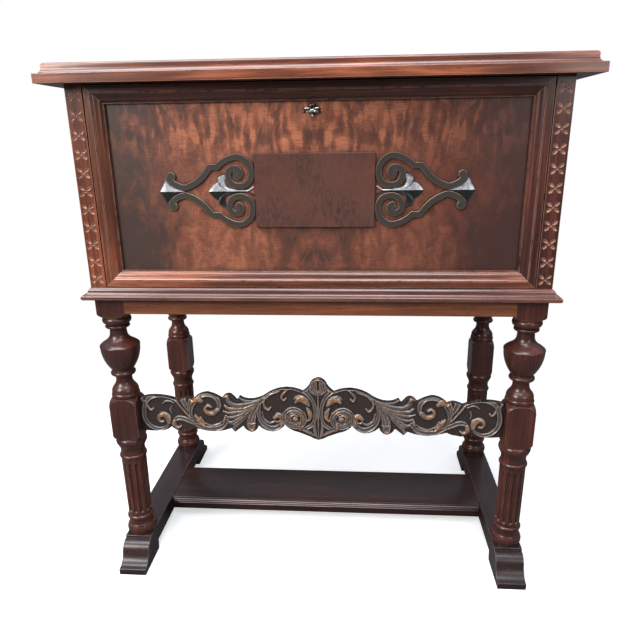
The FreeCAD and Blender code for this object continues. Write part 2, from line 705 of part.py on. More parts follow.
# Front posts: the carved corner posts, with a lip that the closed fall rests on
def post(name, side):
    stop = f"({FALL_BACK} + stop_clearance)"
    lip = f"{side} * ({POST_INNER} - stop_lip)"
    plan = [(f"{side} * {CABINET_X}", minus(CABINET_Y)), (f"{side} * {CABINET_X}", POST_BACK),
            (lip, POST_BACK), (lip, stop), (f"{side} * {POST_INNER}", stop),
            (f"{side} * {POST_INNER}", minus(CABINET_Y))]
    blank = prism(name + "_blank", "XY", plan, (CASE_BOTTOM, CASE_TOP))
    room = board(name + "_lip_end", (f"{POST_INNER} - stop_lip - overrun", POST_INNER),
                 (f"{FALL_BACK} - overrun", f"{POST_BACK} + overrun"),
                 (f"{CASE_BOTTOM} - overrun", FLOOR_TOP), side)
    mortise = board(name + "_mortise", (f"{POST_INNER} - overrun", f"{POST_INNER} + leaf_plate_thickness"),
                    PLATE_Y, PLATE_Z, side)
    return part(joined("Cut", name, blank, room, mortise), name)


def pivot_plate(name, side):
    plate = board(name + "_plate", (POST_INNER, f"{POST_INNER} + leaf_plate_thickness"),
                  PLATE_Y, PLATE_Z, side)
    start, _ = across((f"{POST_INNER} - pin_length", POST_INNER), side)
    pin = rod(name + "_pin", "x", (PIVOT_Y, PIVOT_Z), "pin_radius", start, "pin_length")
    return part(joined("Fuse", name, plate, pin), name)


for word, side in (("left", -1), ("right", 1)):
    post(f"{word}_post", side)
    pivot_plate(f"{word}_pivot_plate", side)
    part(board(f"{word}_side", (SIDE_INNER, SIDE_OUTER), (POST_BACK, CABINET_Y),
               (CASE_BOTTOM, CASE_TOP), side), f"{word}_side")

part(board("back_panel", (minus(SIDE_INNER), SIDE_INNER), (BACK_FRONT, BACK_REAR), (CASE_BOTTOM, CASE_TOP)),
     "back_panel")
part(board("floor_bearer", (minus(POST_INNER), POST_INNER), (FLOOR_FRONT, f"{FLOOR_FRONT} + bearer_depth"),
           (CASE_BOTTOM, FLOOR_BOTTOM)), "floor_bearer")


# Cabinet floor, notched round the posts and slotted for the quadrants' tails
def cabinet_floor():
    plan = [(minus(POST_INNER), FLOOR_FRONT), (POST_INNER, FLOOR_FRONT), (POST_INNER, POST_BACK),
            (SIDE_INNER, POST_BACK), (SIDE_INNER, BACK_FRONT), (minus(SIDE_INNER), BACK_FRONT),
            (minus(SIDE_INNER), POST_BACK), (minus(POST_INNER), POST_BACK)]
    blank = prism("floor_blank", "XY", plan, (FLOOR_BOTTOM, FLOOR_TOP))
    middle_x = f"({QUADRANT_X} + quadrant_thickness / 2)"
    middle_y = f"({PIVOT_Y} + quadrant_radius)"
    slot_x = (f"{middle_x} - slot_width / 2", f"{middle_x} + slot_width / 2")
    slot_y = (f"{middle_y} - slot_length / 2 - slide_clearance", f"{middle_y} + slot_length / 2")
    slots = [board(f"floor_slot_{side + 1}", slot_x, slot_y,
                   (f"{FLOOR_BOTTOM} - overrun", f"{FLOOR_TOP} + overrun"), side) for side in (-1, 1)]
    return part(joined("Cut", "cabinet_floor", blank, *slots), "cabinet_floor")


cabinet_floor()


# Top slab: the same moulded edge on the front and both ends, plain at the back
def top_slab():
    cove_in = "(slab_edge_step + slab_cove_run)"
    bead_in = "(slab_edge_step + slab_cove_run + slab_top_run)"
    z_fascia = f"({CASE_TOP} + slab_fascia)"
    z_cove = f"({z_fascia} + slab_cove_rise)"
    edge = [("0", CASE_TOP, 0), ("0", z_fascia, 0), ("slab_edge_step", z_fascia, 0.42),
            (cove_in, z_cove, 0), (cove_in, f"{DESK_TOP} - slab_top_bead", -0.40), (bead_in, DESK_TOP, 0)]
    half_x = f"({CABINET_X} + slab_overhang)"
    front_y = f"({CABINET_Y} + slab_overhang)"
    rear_y = f"({CABINET_Y} + slab_back_overhang)"
    across_depth = [(f"-{front_y} + {u}", v, bulge) for u, v, bulge in edge]
    across_depth += [(rear_y, DESK_TOP, 0), (rear_y, CASE_TOP, 0)]
    long_way = prism("slab_front_profile", "YZ", across_depth, (minus(half_x), half_x))
    outside = [(f"-{half_x} + {u}", v, bulge) for u, v, bulge in edge[1:]]
    outside += [(f"-{half_x} + {edge[-1][0]}", f"{DESK_TOP} + overrun"),
                (f"-{half_x} - overrun", f"{DESK_TOP} + overrun"), (f"-{half_x} - overrun", z_fascia)]
    left_cutter = prism("slab_end_cutter", "XZ", outside, (f"-{front_y} - overrun", f"{rear_y} + overrun"))
    right_cutter = mirror_copy("slab_other_end_cutter", left_cutter, FreeCAD.Vector(1, 0, 0))
    strike_x = ("-strike_width / 2", "strike_width / 2")
    strike_y = (f"{STRIKE_MIDDLE} - strike_depth / 2", f"{STRIKE_MIDDLE} + strike_depth / 2")
    hole_x = ("-bolt_width / 2 - strike_clearance", "bolt_width / 2 + strike_clearance")
    hole_y = (f"{BOLT_Y[0]} - strike_clearance", f"{BOLT_Y[1]} + strike_clearance")
    strike = board("slab_strike_recess", strike_x, strike_y,
                   (f"{CASE_TOP} - overrun", f"{CASE_TOP} + strike_thickness"))
    mortise = board("slab_mortise", hole_x, hole_y, (CASE_TOP, f"{CASE_TOP} + mortise_depth"))
    part(joined("Cut", "top_slab", long_way, left_cutter, right_cutter, strike, mortise), "top_slab")
    plate = board("strike_blank", strike_x, strike_y, (CASE_TOP, f"{CASE_TOP} + strike_thickness"))
    hole = board("strike_hole", hole_x, hole_y, (f"{CASE_TOP} - overrun", f"{CASE_TOP} + overrun"))
    part(joined("Cut", "strike_plate", plate, hole), "strike_plate")


BOLT_Y = (f"({FALL_BACK} + key_well_depth + bolt_clearance)",
          f"({FALL_BACK} + key_well_depth + bolt_clearance + bolt_thickness)")
STRIKE_MIDDLE = f"(({BOLT_Y[0]} + {BOLT_Y[1]}) / 2)"
top_slab()


# Fall front: a mitred frame of moulded stiles and rails round a sunk panel
OGEE_START = "(frame_flat + frame_quirk)"
OGEE_END = "(frame_flat + frame_quirk + frame_ogee)"
FRAME_PROFILE = [
    ("0", "0", 0), ("frame_flat", "0", 0), ("frame_flat", "frame_quirk", 0), (OGEE_START, "frame_quirk", 0),
    (OGEE_START, f"frame_quirk * {OGEE_LIP_SHARE}", 0.22),
    (f"{OGEE_START} + frame_ogee * {OGEE_RUN_SHARE}", f"frame_drop * {OGEE_DROP_SHARE}", -0.22),
    (OGEE_END, "frame_drop", 0), (OGEE_END, "frame_drop + frame_quirk", 0.55),
    (FRAME_WIDTH, "frame_drop + frame_quirk", 0), (FRAME_WIDTH, "frame_panel_depth", 0),
    (FRAME_REBATE, "frame_panel_depth", 0), (FRAME_REBATE, "fall_thickness", 0), ("0", "fall_thickness", 0),
]


def fall_member(name, upright, side):
    """A stile (upright) or rail; side says which edge of the fall it runs along."""
    in_x = f"({FALL_X} - {FRAME_WIDTH})"
    if upright:
        profile = [(f"{side} * ({FALL_X} - ({u}))", f"{FALL_FRONT} + ({v})", side * bulge)
                   for u, v, bulge in FRAME_PROFILE]
        bar = prism(name + "_bar", "XY", profile, (FALL_BOTTOM, FALL_TOP))
        face = [(f"{side} * {FALL_X}", FALL_BOTTOM), (f"{side} * {FALL_X}", FALL_TOP),
                (f"{side} * {in_x}", f"{FALL_TOP} - {FRAME_WIDTH}"),
                (f"{side} * {in_x}", f"{FALL_BOTTOM} + {FRAME_WIDTH}")]
    else:
        level = FALL_TOP if side > 0 else FALL_BOTTOM
        profile = [(f"{FALL_FRONT} + ({v})", f"{level} - {side} * ({u})", -side * bulge)
                   for u, v, bulge in FRAME_PROFILE]
        bar = prism(name + "_bar", "YZ", profile, (minus(FALL_X), FALL_X))
        face = [(minus(FALL_X), level), (FALL_X, level), (in_x, f"{level} - {side} * {FRAME_WIDTH}"),
                (minus(in_x), f"{level} - {side} * {FRAME_WIDTH}")]
    mitre = prism(name + "_mitre", "XZ", face, (f"{FALL_FRONT} - overrun", f"{FALL_BACK} + overrun"))
    return joined("Common", name, bar, mitre)


part(fall_member("fall_top_rail", False, 1), "fall_top_rail")
part(fall_member("fall_bottom_rail", False, -1), "fall_bottom_rail")
for word, side in (("left", -1), ("right", 1)):
    stile = fall_member(f"fall_{word}_stile_blank", True, side)
    recess = board(f"{word}_leaf_recess", (f"{FALL_X} - leaf_plate_thickness", f"{FALL_X} + overrun"),
                   PLATE_Y, PLATE_Z, side)
    depth = f"({POST_INNER} - pin_length - slide_clearance)"
    start, end = across((depth, FALL_X), side)
    bore = rod(f"{word}_pivot_bore", "x", (PIVOT_Y, PIVOT_Z), "pin_radius + hole_clearance", start,
               f"({end}) - ({start})")
    part(joined("Cut", f"fall_{word}_stile", stile, recess, bore), f"fall_{word}_stile")
    leaf = board(f"{word}_leaf_blank", (f"{FALL_X} - leaf_plate_thickness", FALL_X), PLATE_Y, PLATE_Z, side)
    start, end = across((f"{FALL_X} - leaf_plate_thickness - overrun", f"{FALL_X} + overrun"), side)
    eye = rod(f"{word}_leaf_eye", "x", (PIVOT_Y, PIVOT_Z), "pin_radius + pin_clearance", start,
              f"({end}) - ({start})")
    part(joined("Cut", f"{word}_pivot_leaf", leaf, eye), f"{word}_pivot_leaf")

panel_x = f"({FALL_X} - {FRAME_REBATE})"
panel_blank = board("fall_panel_blank", (minus(panel_x), panel_x), (PANEL_FRONT, FALL_BACK),
                    (f"{FALL_BOTTOM} + {FRAME_REBATE}", f"{FALL_TOP} - {FRAME_REBATE}"))
panel_keyhole = rod("fall_panel_keyhole", "y", ("0", KEY_Z), "keyhole_radius", f"{PANEL_FRONT} - overrun",
                    "fall_thickness")
part(joined("Cut", "fall_panel", panel_blank, panel_keyhole), "fall_panel")

part(board("centre_tablet", ("-tablet_width / 2", "tablet_width / 2"),
           (f"{PANEL_FRONT} - tablet_thickness", PANEL_FRONT),
           (f"{TABLET_MIDDLE} - tablet_height / 2", f"{TABLET_MIDDLE} + tablet_height / 2")),
     "centre_tablet")


# Scroll frets: two mirrored bands and two carved leaves, cut from one thin board
def fret():
    out = "(tablet_width / 2)"

    def placed(shares):
        return [(f"-{out} - {u} * fret_length", f"{TABLET_MIDDLE} + {v} * fret_rise", bulge)
                for u, v, bulge in shares]

    line = doc.addObject("Sketcher::SketchObject", "fret_line")
    line.Placement = FreeCAD.Placement(FreeCAD.Vector(), FreeCAD.Rotation(FreeCAD.Vector(1, 0, 0), 90))
    bind(line, Placement__Base__y=PANEL_FRONT)
    draw(line, placed(FRET_LINE_SHARES), closed=False)
    doc.recompute()
    outline = doc.addObject("Part::Offset2D", "fret_band_outline")
    outline.Source = line
    outline.Join = "Arc"
    outline.Fill = False
    outline.Mode = "Pipe"
    bind(outline, Value="fret_band / 2")
    band = doc.addObject("Part::Extrusion", "fret_band")
    band.Base = outline
    band.DirMode = "Custom"
    band.Dir = FreeCAD.Vector(0, -1, 0)
    band.Solid = True
    bind(band, LengthFwd="fret_thickness")
    leaves = []
    for index, shares in enumerate((INNER_LEAF_SHARES, OUTER_LEAF_SHARES)):
        outline = mirrored(placed(shares), lambda u, v: (u, f"2 * {TABLET_MIDDLE} - ({v})"))
        leaves.append(prism(f"fret_leaf_{index}", "XZ", outline,
                            (f"{PANEL_FRONT} - leaf_thickness", PANEL_FRONT)))
    lower_band = mirror_copy("fret_lower_band", band, FreeCAD.Vector(0, 0, 1), TABLET_MIDDLE)
    left = joined("Fuse", "left_fret", band, lower_band, *leaves)
    part(left, "left_fret")
    part(mirror_copy("right_fret", left, FreeCAD.Vector(1, 0, 0)), "right_fret")


fret()


# Quadrants: brass arcs round the pivot line, fixed to the fall and sliding in keepers.
# A pin near each tail meets the back of its keeper when the fall is level.
KEEPER_Y = (f"({FALL_BACK} + keeper_gap)", f"({FALL_BACK} + keeper_gap + keeper_thickness)")
STOP_REACH = f"({KEEPER_Y[1]} + stop_pin_radius + slide_clearance / 2 - {PIVOT_Y})"


def quadrant(name, side):
    x_span = across((QUADRANT_X, f"{QUADRANT_X} + quadrant_thickness"), side)

    def at(radius, angle):
        return (f"{PIVOT_Y} + ({radius}) * cos({angle})", f"{PIVOT_Z} + ({radius}) * sin({angle})")

    outer = "(quadrant_radius + quadrant_band / 2)"
    inner = "(quadrant_radius - quadrant_band / 2)"
    head = f"acos((fall_thickness - pivot_in + quadrant_foot_plate * {QUADRANT_SEAT_SHARE}) / {inner})"
    tail = f"(-asin({STOP_REACH} / quadrant_radius) - quadrant_tail_angle * 1deg)"
    outline = [(*at(outer, tail), NAMED_BULGE, outer), (*at(outer, head), 0),
               (*at(inner, head), -NAMED_BULGE, inner), (*at(inner, tail), 0)]
    arc = prism(name + "_arc", "YZ", outline, x_span)
    middle_x = f"({QUADRANT_X} + quadrant_thickness / 2)"
    head_z = f"({PIVOT_Z} + quadrant_radius)"
    foot = board(name + "_foot",
                 (f"{middle_x} - quadrant_foot_width / 2", f"{middle_x} + quadrant_foot_width / 2"),
                 (FALL_BACK, f"{FALL_BACK} + quadrant_foot_plate"),
                 (f"{head_z} - quadrant_foot_length / 2", f"{head_z} + quadrant_foot_length / 2"), side)
    spot = (f"({PIVOT_Y} + sqrt(quadrant_radius^2 - {STOP_REACH}^2))", f"({PIVOT_Z} - {STOP_REACH})")
    start, _ = across((f"{middle_x} - stop_pin_length / 2", f"{middle_x} + stop_pin_length / 2"), side)
    stop = rod(name + "_stop", "x", spot, "stop_pin_radius", start, "stop_pin_length")
    return part(joined("Fuse", name, arc, foot, stop), name)


def keeper(name, side):
    lip = f"({POST_INNER} - stop_lip)"
    near, far = KEEPER_Y
    middle_z = f"({PIVOT_Z} + sqrt(quadrant_radius^2 - (({near} + {far}) / 2 - {PIVOT_Y})^2))"
    block = board(name + "_block", (f"{lip} - keeper_reach", lip), KEEPER_Y,
                  (f"{middle_z} - keeper_height / 2", f"{middle_z} + keeper_height / 2"), side)
    slot = board(name + "_slot",
                 (f"{QUADRANT_X} - slide_clearance", f"{QUADRANT_X} + quadrant_thickness + slide_clearance"),
                 (f"{near} - overrun", f"{far} + overrun"),
                 (f"{middle_z} - quadrant_band / 2 - keeper_clearance",
                  f"{middle_z} + quadrant_band / 2 + keeper_clearance"), side)
    return part(joined("Cut", name, block, slot), name)


for word, side in (("left", -1), ("right", 1)):
    quadrant(f"{word}_quadrant", side)
    keeper(f"{word}_keeper", side)


# Lock on the inner face of the fall, with its bolt, key and escutcheon
def lock():
    low = f"({FALL_TOP} - lock_height)"
    case = board("lock_blank", ("-lock_width / 2", "lock_width / 2"),
                 (FALL_BACK, f"{FALL_BACK} + lock_depth"), (low, FALL_TOP))
    channel = board("lock_channel", ("-bolt_width / 2 - bolt_clearance", "bolt_width / 2 + bolt_clearance"),
                    (f"{BOLT_Y[0]} - bolt_clearance", f"{BOLT_Y[1]} + bolt_clearance"),
                    (f"{FALL_TOP} - bolt_rest - bolt_length - bolt_clearance", f"{FALL_TOP} + overrun"))
    well = rod("lock_key_well", "y", ("0", KEY_Z), "key_well_radius", f"{FALL_BACK} - overrun",
               "key_well_depth + overrun")
    socket = rod("lock_key_socket", "y", ("0", KEY_Z), "key_stem_radius + pin_clearance", FALL_BACK,
                 "lock_depth - bolt_wall")
    part(joined("Cut", "lock_case", case, channel, well, socket), "lock_case")
    part(board("lock_bolt", ("-bolt_width / 2", "bolt_width / 2"), BOLT_Y,
               (f"{FALL_TOP} - bolt_rest - bolt_length", f"{FALL_TOP} - bolt_rest")), "lock_bolt")


def key():
    tip = f"({FALL_BACK} + lock_depth - bolt_wall - key_end_gap)"
    back = f"({tip} - key_stem_length)"
    stem = rod("key_stem", "y", ("0", KEY_Z), "key_stem_radius", back, "key_stem_length")
    bit = board("key_bit", ("-key_bit_height / 2", "key_bit_height / 2"),
                (f"{FALL_BACK} + key_well_depth - key_bit_width - slide_clearance",
                 f"{FALL_BACK} + key_well_depth - slide_clearance"),
                (f"{KEY_Z} - key_bit_length", KEY_Z))
    pieces = [bit]
    for word, side in (("left", -1), ("right", 1)):
        loop = doc.addObject("Part::Torus", f"key_bow_{word}")
        bind(loop, Radius1="key_bow_radius", Radius2="key_bow_wire",
             Placement__Base__x=f"{side} * (key_bow_length - key_bow_radius)",
             Placement__Base__y=f"{back} - key_bow_offset", Placement__Base__z=KEY_Z)
        pieces.append(loop)
    collar = rod("key_collar", "y", ("0", KEY_Z), "key_collar_radius", f"{back} - key_bow_wire",
                 "key_collar_length")
    part(joined("Fuse", "key", stem, collar, *pieces), "key")


def escutcheon():
    body = doc.addObject("PartDesign::Body", "escutcheon")
    top = f"{PANEL_FRONT} - escutcheon_height"
    turned(body, "XY", [
        ("keyhole_radius", PANEL_FRONT, 0), ("escutcheon_radius", PANEL_FRONT, 0),
        ("escutcheon_radius", f"{PANEL_FRONT} - escutcheon_height * {DOME_RIM_SHARE}", 0.30),
        (f"keyhole_radius * {DOME_EYE_SHARE}", top, 0), ("keyhole_radius", top, 0)])
    bind(body, Placement__Base__z=KEY_Z)
    return part(body, "escutcheon")


lock()
key()
escutcheon()


# Gallery of pigeonholes with a small drawer at each end
GALLERY_Y = (GALLERY_FRONT, GALLERY_BACK)
UNDER_TOP = (FLOOR_TOP, f"{GALLERY_TOP} - gallery_board")
part(board("gallery_top", (minus(SIDE_INNER), SIDE_INNER), GALLERY_Y,
           (f"{GALLERY_TOP} - gallery_board", GALLERY_TOP)), "gallery_top")
BAY = ("gallery_bay + gallery_board", f"{SIDE_INNER} - gallery_board")


def drawer(word, side):
    outer = (f"{BAY[0]} + drawer_gap", f"{BAY[1]} - drawer_gap")
    front_y = (GALLERY_FRONT, f"{GALLERY_FRONT} + drawer_front")
    z_span = (FLOOR_TOP, f"{FLOOR_TOP} + drawer_height")
    part(board(f"{word}_drawer_front", outer, front_y, z_span, side), f"{word}_drawer_front")
    tray = board(f"{word}_drawer_blank", outer, (front_y[1], f"{GALLERY_FRONT} + drawer_length"),
                 z_span, side)
    hollow = board(f"{word}_drawer_hollow", (f"{outer[0]} + drawer_wall", f"{outer[1]} - drawer_wall"),
                   (f"{front_y[1]} - overrun", f"{GALLERY_FRONT} + drawer_length - drawer_wall"),
                   (f"{z_span[0]} + drawer_bottom", f"{z_span[1]} + overrun"), side)
    part(joined("Cut", f"{word}_drawer_box", tray, hollow), f"{word}_drawer_box")
    knob = doc.addObject("PartDesign::Body", f"{word}_drawer_knob")
    turned(knob, "XY", [(f"knob_radius * {u}", f"-knob_length * {v}", bulge) for u, v, bulge in KNOB_SHARES])
    bind(knob, Placement__Base__x=f"{side} * ({BAY[0]} + {BAY[1]}) / 2", Placement__Base__y=GALLERY_FRONT,
         Placement__Base__z=f"{FLOOR_TOP} + drawer_height / 2")
    part(knob, f"{word}_drawer_knob")


for word, side in (("left", -1), ("right", 1)):
    part(board(f"gallery_{word}_end", (f"{SIDE_INNER} - gallery_board", SIDE_INNER),
               GALLERY_Y, UNDER_TOP, side), f"gallery_{word}_end")
    part(board(f"gallery_{word}_divider", ("gallery_bay", "gallery_bay + gallery_board"),
               GALLERY_Y, UNDER_TOP, side), f"gallery_{word}_divider")
    part(board(f"{word}_drawer_shelf", BAY, GALLERY_Y,
               (DRAWER_ROOM, f"{DRAWER_ROOM} + gallery_board"), side), f"{word}_drawer_shelf")
    drawer(word, side)

partition_x = ("gallery_bay * partition_share - partition_thickness / 2",
               "gallery_bay * partition_share + partition_thickness / 2")
partitions = doc.addObject("Part::Compound", "letter_partitions")
partitions.Links = [board(f"partition_{side + 1}", partition_x, GALLERY_Y, UNDER_TOP, side)
                    for side in (-1, 1)]
part(partitions, "letter_partitions")


# Build, test and write every piece
doc.recompute()
for item in doc.Objects:
    if "Invalid" in item.State or "Error" in item.State:
        raise RuntimeError(f"{item.Label} failed: {item.State}")
for item in parts:
    if item.Shape.isNull() or not item.Shape.isValid() or not item.Shape.Solids:
        raise RuntimeError(f"{item.Label} has no valid solid")

os.makedirs("parts", exist_ok=True)
for item in parts:
    item.Shape.exportStep(f"parts/{item.Label}.step")
    print(f"{item.Label:24s} {len(item.Shape.Solids)} solid {item.Shape.Volume / 1000:10.1f} cm3")
print(len(parts), "pieces")
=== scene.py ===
# %% [markdown]
# # A fall-front writing desk on a trestle stand
#
# The real desk is a walnut cabinet whose front falls open to make a writing surface, on
# four turned legs held by two foot runners, a low shelf and a carved stretcher. Its measured
# solids come in as a fixed frame, in place and in metres. This lesson gives each its finish
# and adds the carving that solids leave out.

import json
from math import cos, pi, radians, sin

import bmesh
import bpy
import numpy as np
from mathutils import Matrix, Vector

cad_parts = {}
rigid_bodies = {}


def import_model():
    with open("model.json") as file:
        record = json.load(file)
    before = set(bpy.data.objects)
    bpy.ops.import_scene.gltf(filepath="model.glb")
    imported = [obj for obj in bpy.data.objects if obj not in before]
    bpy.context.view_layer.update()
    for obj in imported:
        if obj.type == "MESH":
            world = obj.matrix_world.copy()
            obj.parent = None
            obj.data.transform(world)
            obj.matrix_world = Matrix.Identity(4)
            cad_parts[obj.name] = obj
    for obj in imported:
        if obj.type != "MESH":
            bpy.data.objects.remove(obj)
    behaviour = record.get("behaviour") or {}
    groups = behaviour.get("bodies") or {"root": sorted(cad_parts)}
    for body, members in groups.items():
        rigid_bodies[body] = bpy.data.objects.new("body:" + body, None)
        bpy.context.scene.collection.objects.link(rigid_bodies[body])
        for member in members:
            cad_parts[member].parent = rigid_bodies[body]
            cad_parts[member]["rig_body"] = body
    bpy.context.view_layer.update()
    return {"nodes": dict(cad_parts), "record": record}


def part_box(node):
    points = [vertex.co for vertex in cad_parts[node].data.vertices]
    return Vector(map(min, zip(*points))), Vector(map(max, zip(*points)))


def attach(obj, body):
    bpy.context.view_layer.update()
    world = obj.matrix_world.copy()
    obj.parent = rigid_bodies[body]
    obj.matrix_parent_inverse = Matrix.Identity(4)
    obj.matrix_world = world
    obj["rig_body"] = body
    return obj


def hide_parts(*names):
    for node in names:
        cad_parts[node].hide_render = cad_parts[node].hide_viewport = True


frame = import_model()

# %% [markdown]
# ## The camera
#
# The photograph was taken a little right of the desk's middle and tilted down, so the
# uprights lean. A camera could be aimed by eye, but these numbers were fitted: they bring
# some forty corners to where the photograph has them.

# %% Set up the camera
CAMERA_PLACE = Vector((0.0788, -1.2640, 0.8971))
TURN, TILT, ROLL = -0.0713, 0.3117, 0.0135
LENS_LENGTH, SENSOR_WIDTH, LENS_SHIFT = 32.653, 36, (0.0029, 0.0050)


def new_object(name, data):
    made = bpy.data.objects.new(name, data)
    bpy.context.scene.collection.objects.link(made)
    return made


ahead = Vector((sin(TURN) * cos(TILT), cos(TURN) * cos(TILT), -sin(TILT)))
level_right = Vector((cos(TURN), -sin(TURN), 0))
level_down = ahead.cross(level_right)
right = cos(ROLL) * level_right + sin(ROLL) * level_down
down = cos(ROLL) * level_down - sin(ROLL) * level_right

lens = bpy.data.cameras.new("camera")
lens.lens = LENS_LENGTH
lens.sensor_width = SENSOR_WIDTH
lens.shift_x, lens.shift_y = LENS_SHIFT
camera = new_object("camera", lens)
facing = Matrix((right, -down, -ahead)).transposed().to_4x4()
camera.matrix_world = Matrix.Translation(CAMERA_PLACE) @ facing
bpy.context.scene.camera = camera
print("camera looks along", [round(c, 3) for c in ahead])

# %% [markdown]
# ## Short words for building materials
#
# A material is a graph of small nodes. Wiring one by hand is fine, but this desk has two
# dozen. So a graph gets short words: add makes a node and feeds its sockets, blend mixes
# two colours, spread turns one run of values into another, and noise gives the irregular
# patterns of wood and wear.

# %% Words that make and wire nodes
def tone(red, green, blue):
    """A screen colour, 0 to 255, turned into the light values that nodes use."""
    return (*(((c / 255 + 0.055) / 1.055) ** 2.4 for c in (red, green, blue)), 1.0)


class Graph:
    """A graph of shader nodes; each word makes nodes and returns what they put out."""

    def __init__(self, tree):
        self.tree = tree

    def feed(self, node, feeds):
        for socket, value in feeds.items():
            slot = node.inputs[socket]
            if isinstance(value, bpy.types.NodeSocket):
                self.tree.links.new(value, slot)
            else:
                is_tone = slot.type == "RGBA" and len(value) == 3
                slot.default_value = tone(*value) if is_tone else value
        return node.outputs

    def add(self, kind, feeds=None, **settings):
        node = self.tree.nodes.new("ShaderNode" + kind)
        for name, value in settings.items():
            setattr(node, name, value)
        return self.feed(node, feeds or {})

    def maths(self, operation, a, b=0.0, clamp=False):
        return self.add("Math", {0: a, 1: b}, operation=operation, use_clamp=clamp)[0]

    def plus(self, a, b):
        return self.maths("ADD", a, b)

    def times(self, a, b, clamp=False):
        return self.maths("MULTIPLY", a, b, clamp)

    def blend(self, share, first, second):
        return self.add("Mix", {0: share, 6: first, 7: second}, data_type="RGBA")[2]

    def spread(self, value, low, high, to_low=0.0, to_high=1.0):
        feeds = {0: value, 1: low, 2: high, 3: to_low, 4: to_high}
        return self.add("MapRange", feeds, interpolation_type="SMOOTHSTEP")[0]

    def noise(self, place, scale, detail=2.0, distortion=0.0, roughness=0.5):
        sizes = scale if isinstance(scale, tuple) else (scale,) * 3
        spot = self.add("VectorMath", {0: place, 1: sizes}, operation="MULTIPLY")[0]
        feeds = {"Vector": spot, "Scale": 1.0, "Detail": detail, "Distortion": distortion,
                 "Roughness": roughness}
        return self.add("TexNoise", feeds)["Fac"]

    def spot(self):
        return self.add("TexCoord")["Object"]

    def mask(self, group, reach, amount):
        return self.add("Group", {"Reach": reach, "Amount": amount}, node_tree=group)[0]


def new_group(title, inputs, outputs):
    tree = bpy.data.node_groups.new(title, "ShaderNodeTree")
    for way, sockets in (("INPUT", inputs), ("OUTPUT", outputs)):
        for name, kind in sockets.items():
            tree.interface.new_socket(name, in_out=way, socket_type="NodeSocket" + kind)
    return Graph(tree), tree.nodes.new("NodeGroupInput").outputs, tree.nodes.new("NodeGroupOutput")


# %% [markdown]
# ## Grain
#
# Walnut shows long streaks where the growth rings are cut, and short dark pores between
# them. A photograph of a board would repeat and need fitting to every face; noise that is
# stretched along the board runs through it like real grain. The group takes a position
# whose first axis lies along the grain, so one recipe serves every board.

# %% Build the grain group
g, given, result = new_group(
    "walnut grain",
    {"Position": "Vector", "Pale": "Color", "Body": "Color", "Dark": "Color"},
    {"Color": "Color", "Relief": "Float"},
)
rings = g.noise(given["Position"], (2.2, 26, 26), 5, 0.9)
threads = g.noise(given["Position"], (9, 210, 210), 3, 0.4)
pores = g.noise(given["Position"], (60, 900, 900), 1)
clouds = g.noise(given["Position"], (5, 9, 9), 2)
streaks = g.plus(g.times(rings, 0.50), g.times(threads, 0.50))
lifted = g.plus(streaks, g.spread(clouds, 0.3, 0.7, -0.07, 0.07))
shaded = g.blend(g.spread(lifted, 0.30, 0.54, 0.35), given["Dark"], given["Body"])
warm = g.blend(g.spread(lifted, 0.48, 0.72), shaded, given["Pale"])
in_pore = g.spread(pores, 0.62, 0.74)
g.feed(result, {
    "Color": g.blend(g.times(in_pore, 0.6), warm, given["Dark"]),
    "Relief": g.maths("SUBTRACT", g.times(threads, 0.5), g.times(in_pore, 0.5)),
})
grain_group = g.tree
print("grain group:", len(grain_group.nodes), "nodes")

# %% [markdown]
# ## Worn edges and dark corners
#
# Hands and dusters rub the stain off the edges, while old wax and dust stay dark in every
# corner; the same darkening of corners also paints in the shade that falls there, so it is
# wax, dust and painted shade at once. Both could be painted on, but a Bevel node knows where
# the surface turns, and an Ambient Occlusion node where it is enclosed, so they find the
# edges and corners of any piece.

# %% Build the wear and corner shade groups
REACH_AND_AMOUNT = {"Reach": "Float", "Amount": "Float"}

g, given, result = new_group("edge wear", REACH_AND_AMOUNT, {"Wear": "Float"})
rounded = g.add("Bevel", {"Radius": given["Reach"]}, samples=4)[0]
straight = g.add("NewGeometry")["Normal"]
turn = g.add("VectorMath", {0: rounded, 1: straight}, operation="DOT_PRODUCT")["Value"]
openness = g.add("AmbientOcclusion", {"Distance": 0.006}, samples=4)["AO"]
patches = g.noise(g.spot(), 55, 3)
edge = g.times(g.spread(turn, 0.998, 0.93), g.spread(openness, 0.35, 0.7))
rubbed = g.times(edge, g.spread(patches, 0.22, 0.62))
g.feed(result, {"Wear": g.times(rubbed, given["Amount"], clamp=True)})
wear_group = g.tree

# The corner mask darkens whatever is enclosed: dust and dirt, and painted shade.
g, given, result = new_group("corner shade and dirt", REACH_AND_AMOUNT, {"Shade and dirt": "Float"})
shelter = g.add("AmbientOcclusion", {"Distance": given["Reach"]}, samples=6)["AO"]
patches = g.noise(g.spot(), 30, 3)
shade_and_dirt = g.times(g.spread(shelter, 0.95, 0.35), g.spread(patches, 0.2, 0.6, 0.6, 1.0))
g.feed(result, {"Shade and dirt": g.times(shade_and_dirt, given["Amount"], clamp=True)})
corner_shade_and_dirt_group = g.tree
print("wear and corner shade groups:", len(wear_group.nodes), "and", len(corner_shade_and_dirt_group.nodes), "nodes")

# %% [markdown]
# ## Stained and varnished walnut
#
# The boards are dark red-brown walnut under a satin varnish, the Principled shader's coat;
# grain, rubbed edges and dark corners decide the colour below it. Each board needs its own
# run of grain, so the object's random number shifts where the grain is read, and the axes
# are swapped so that it follows the board.

# %% Make the varnished woods
GRAIN_ORDER = {"x": "XYZ", "y": "YZX", "z": "ZXY"}
# The colour of dark corners: old wax, and painted shade.
OLD_WAX_AND_SHADE = (26, 17, 15)


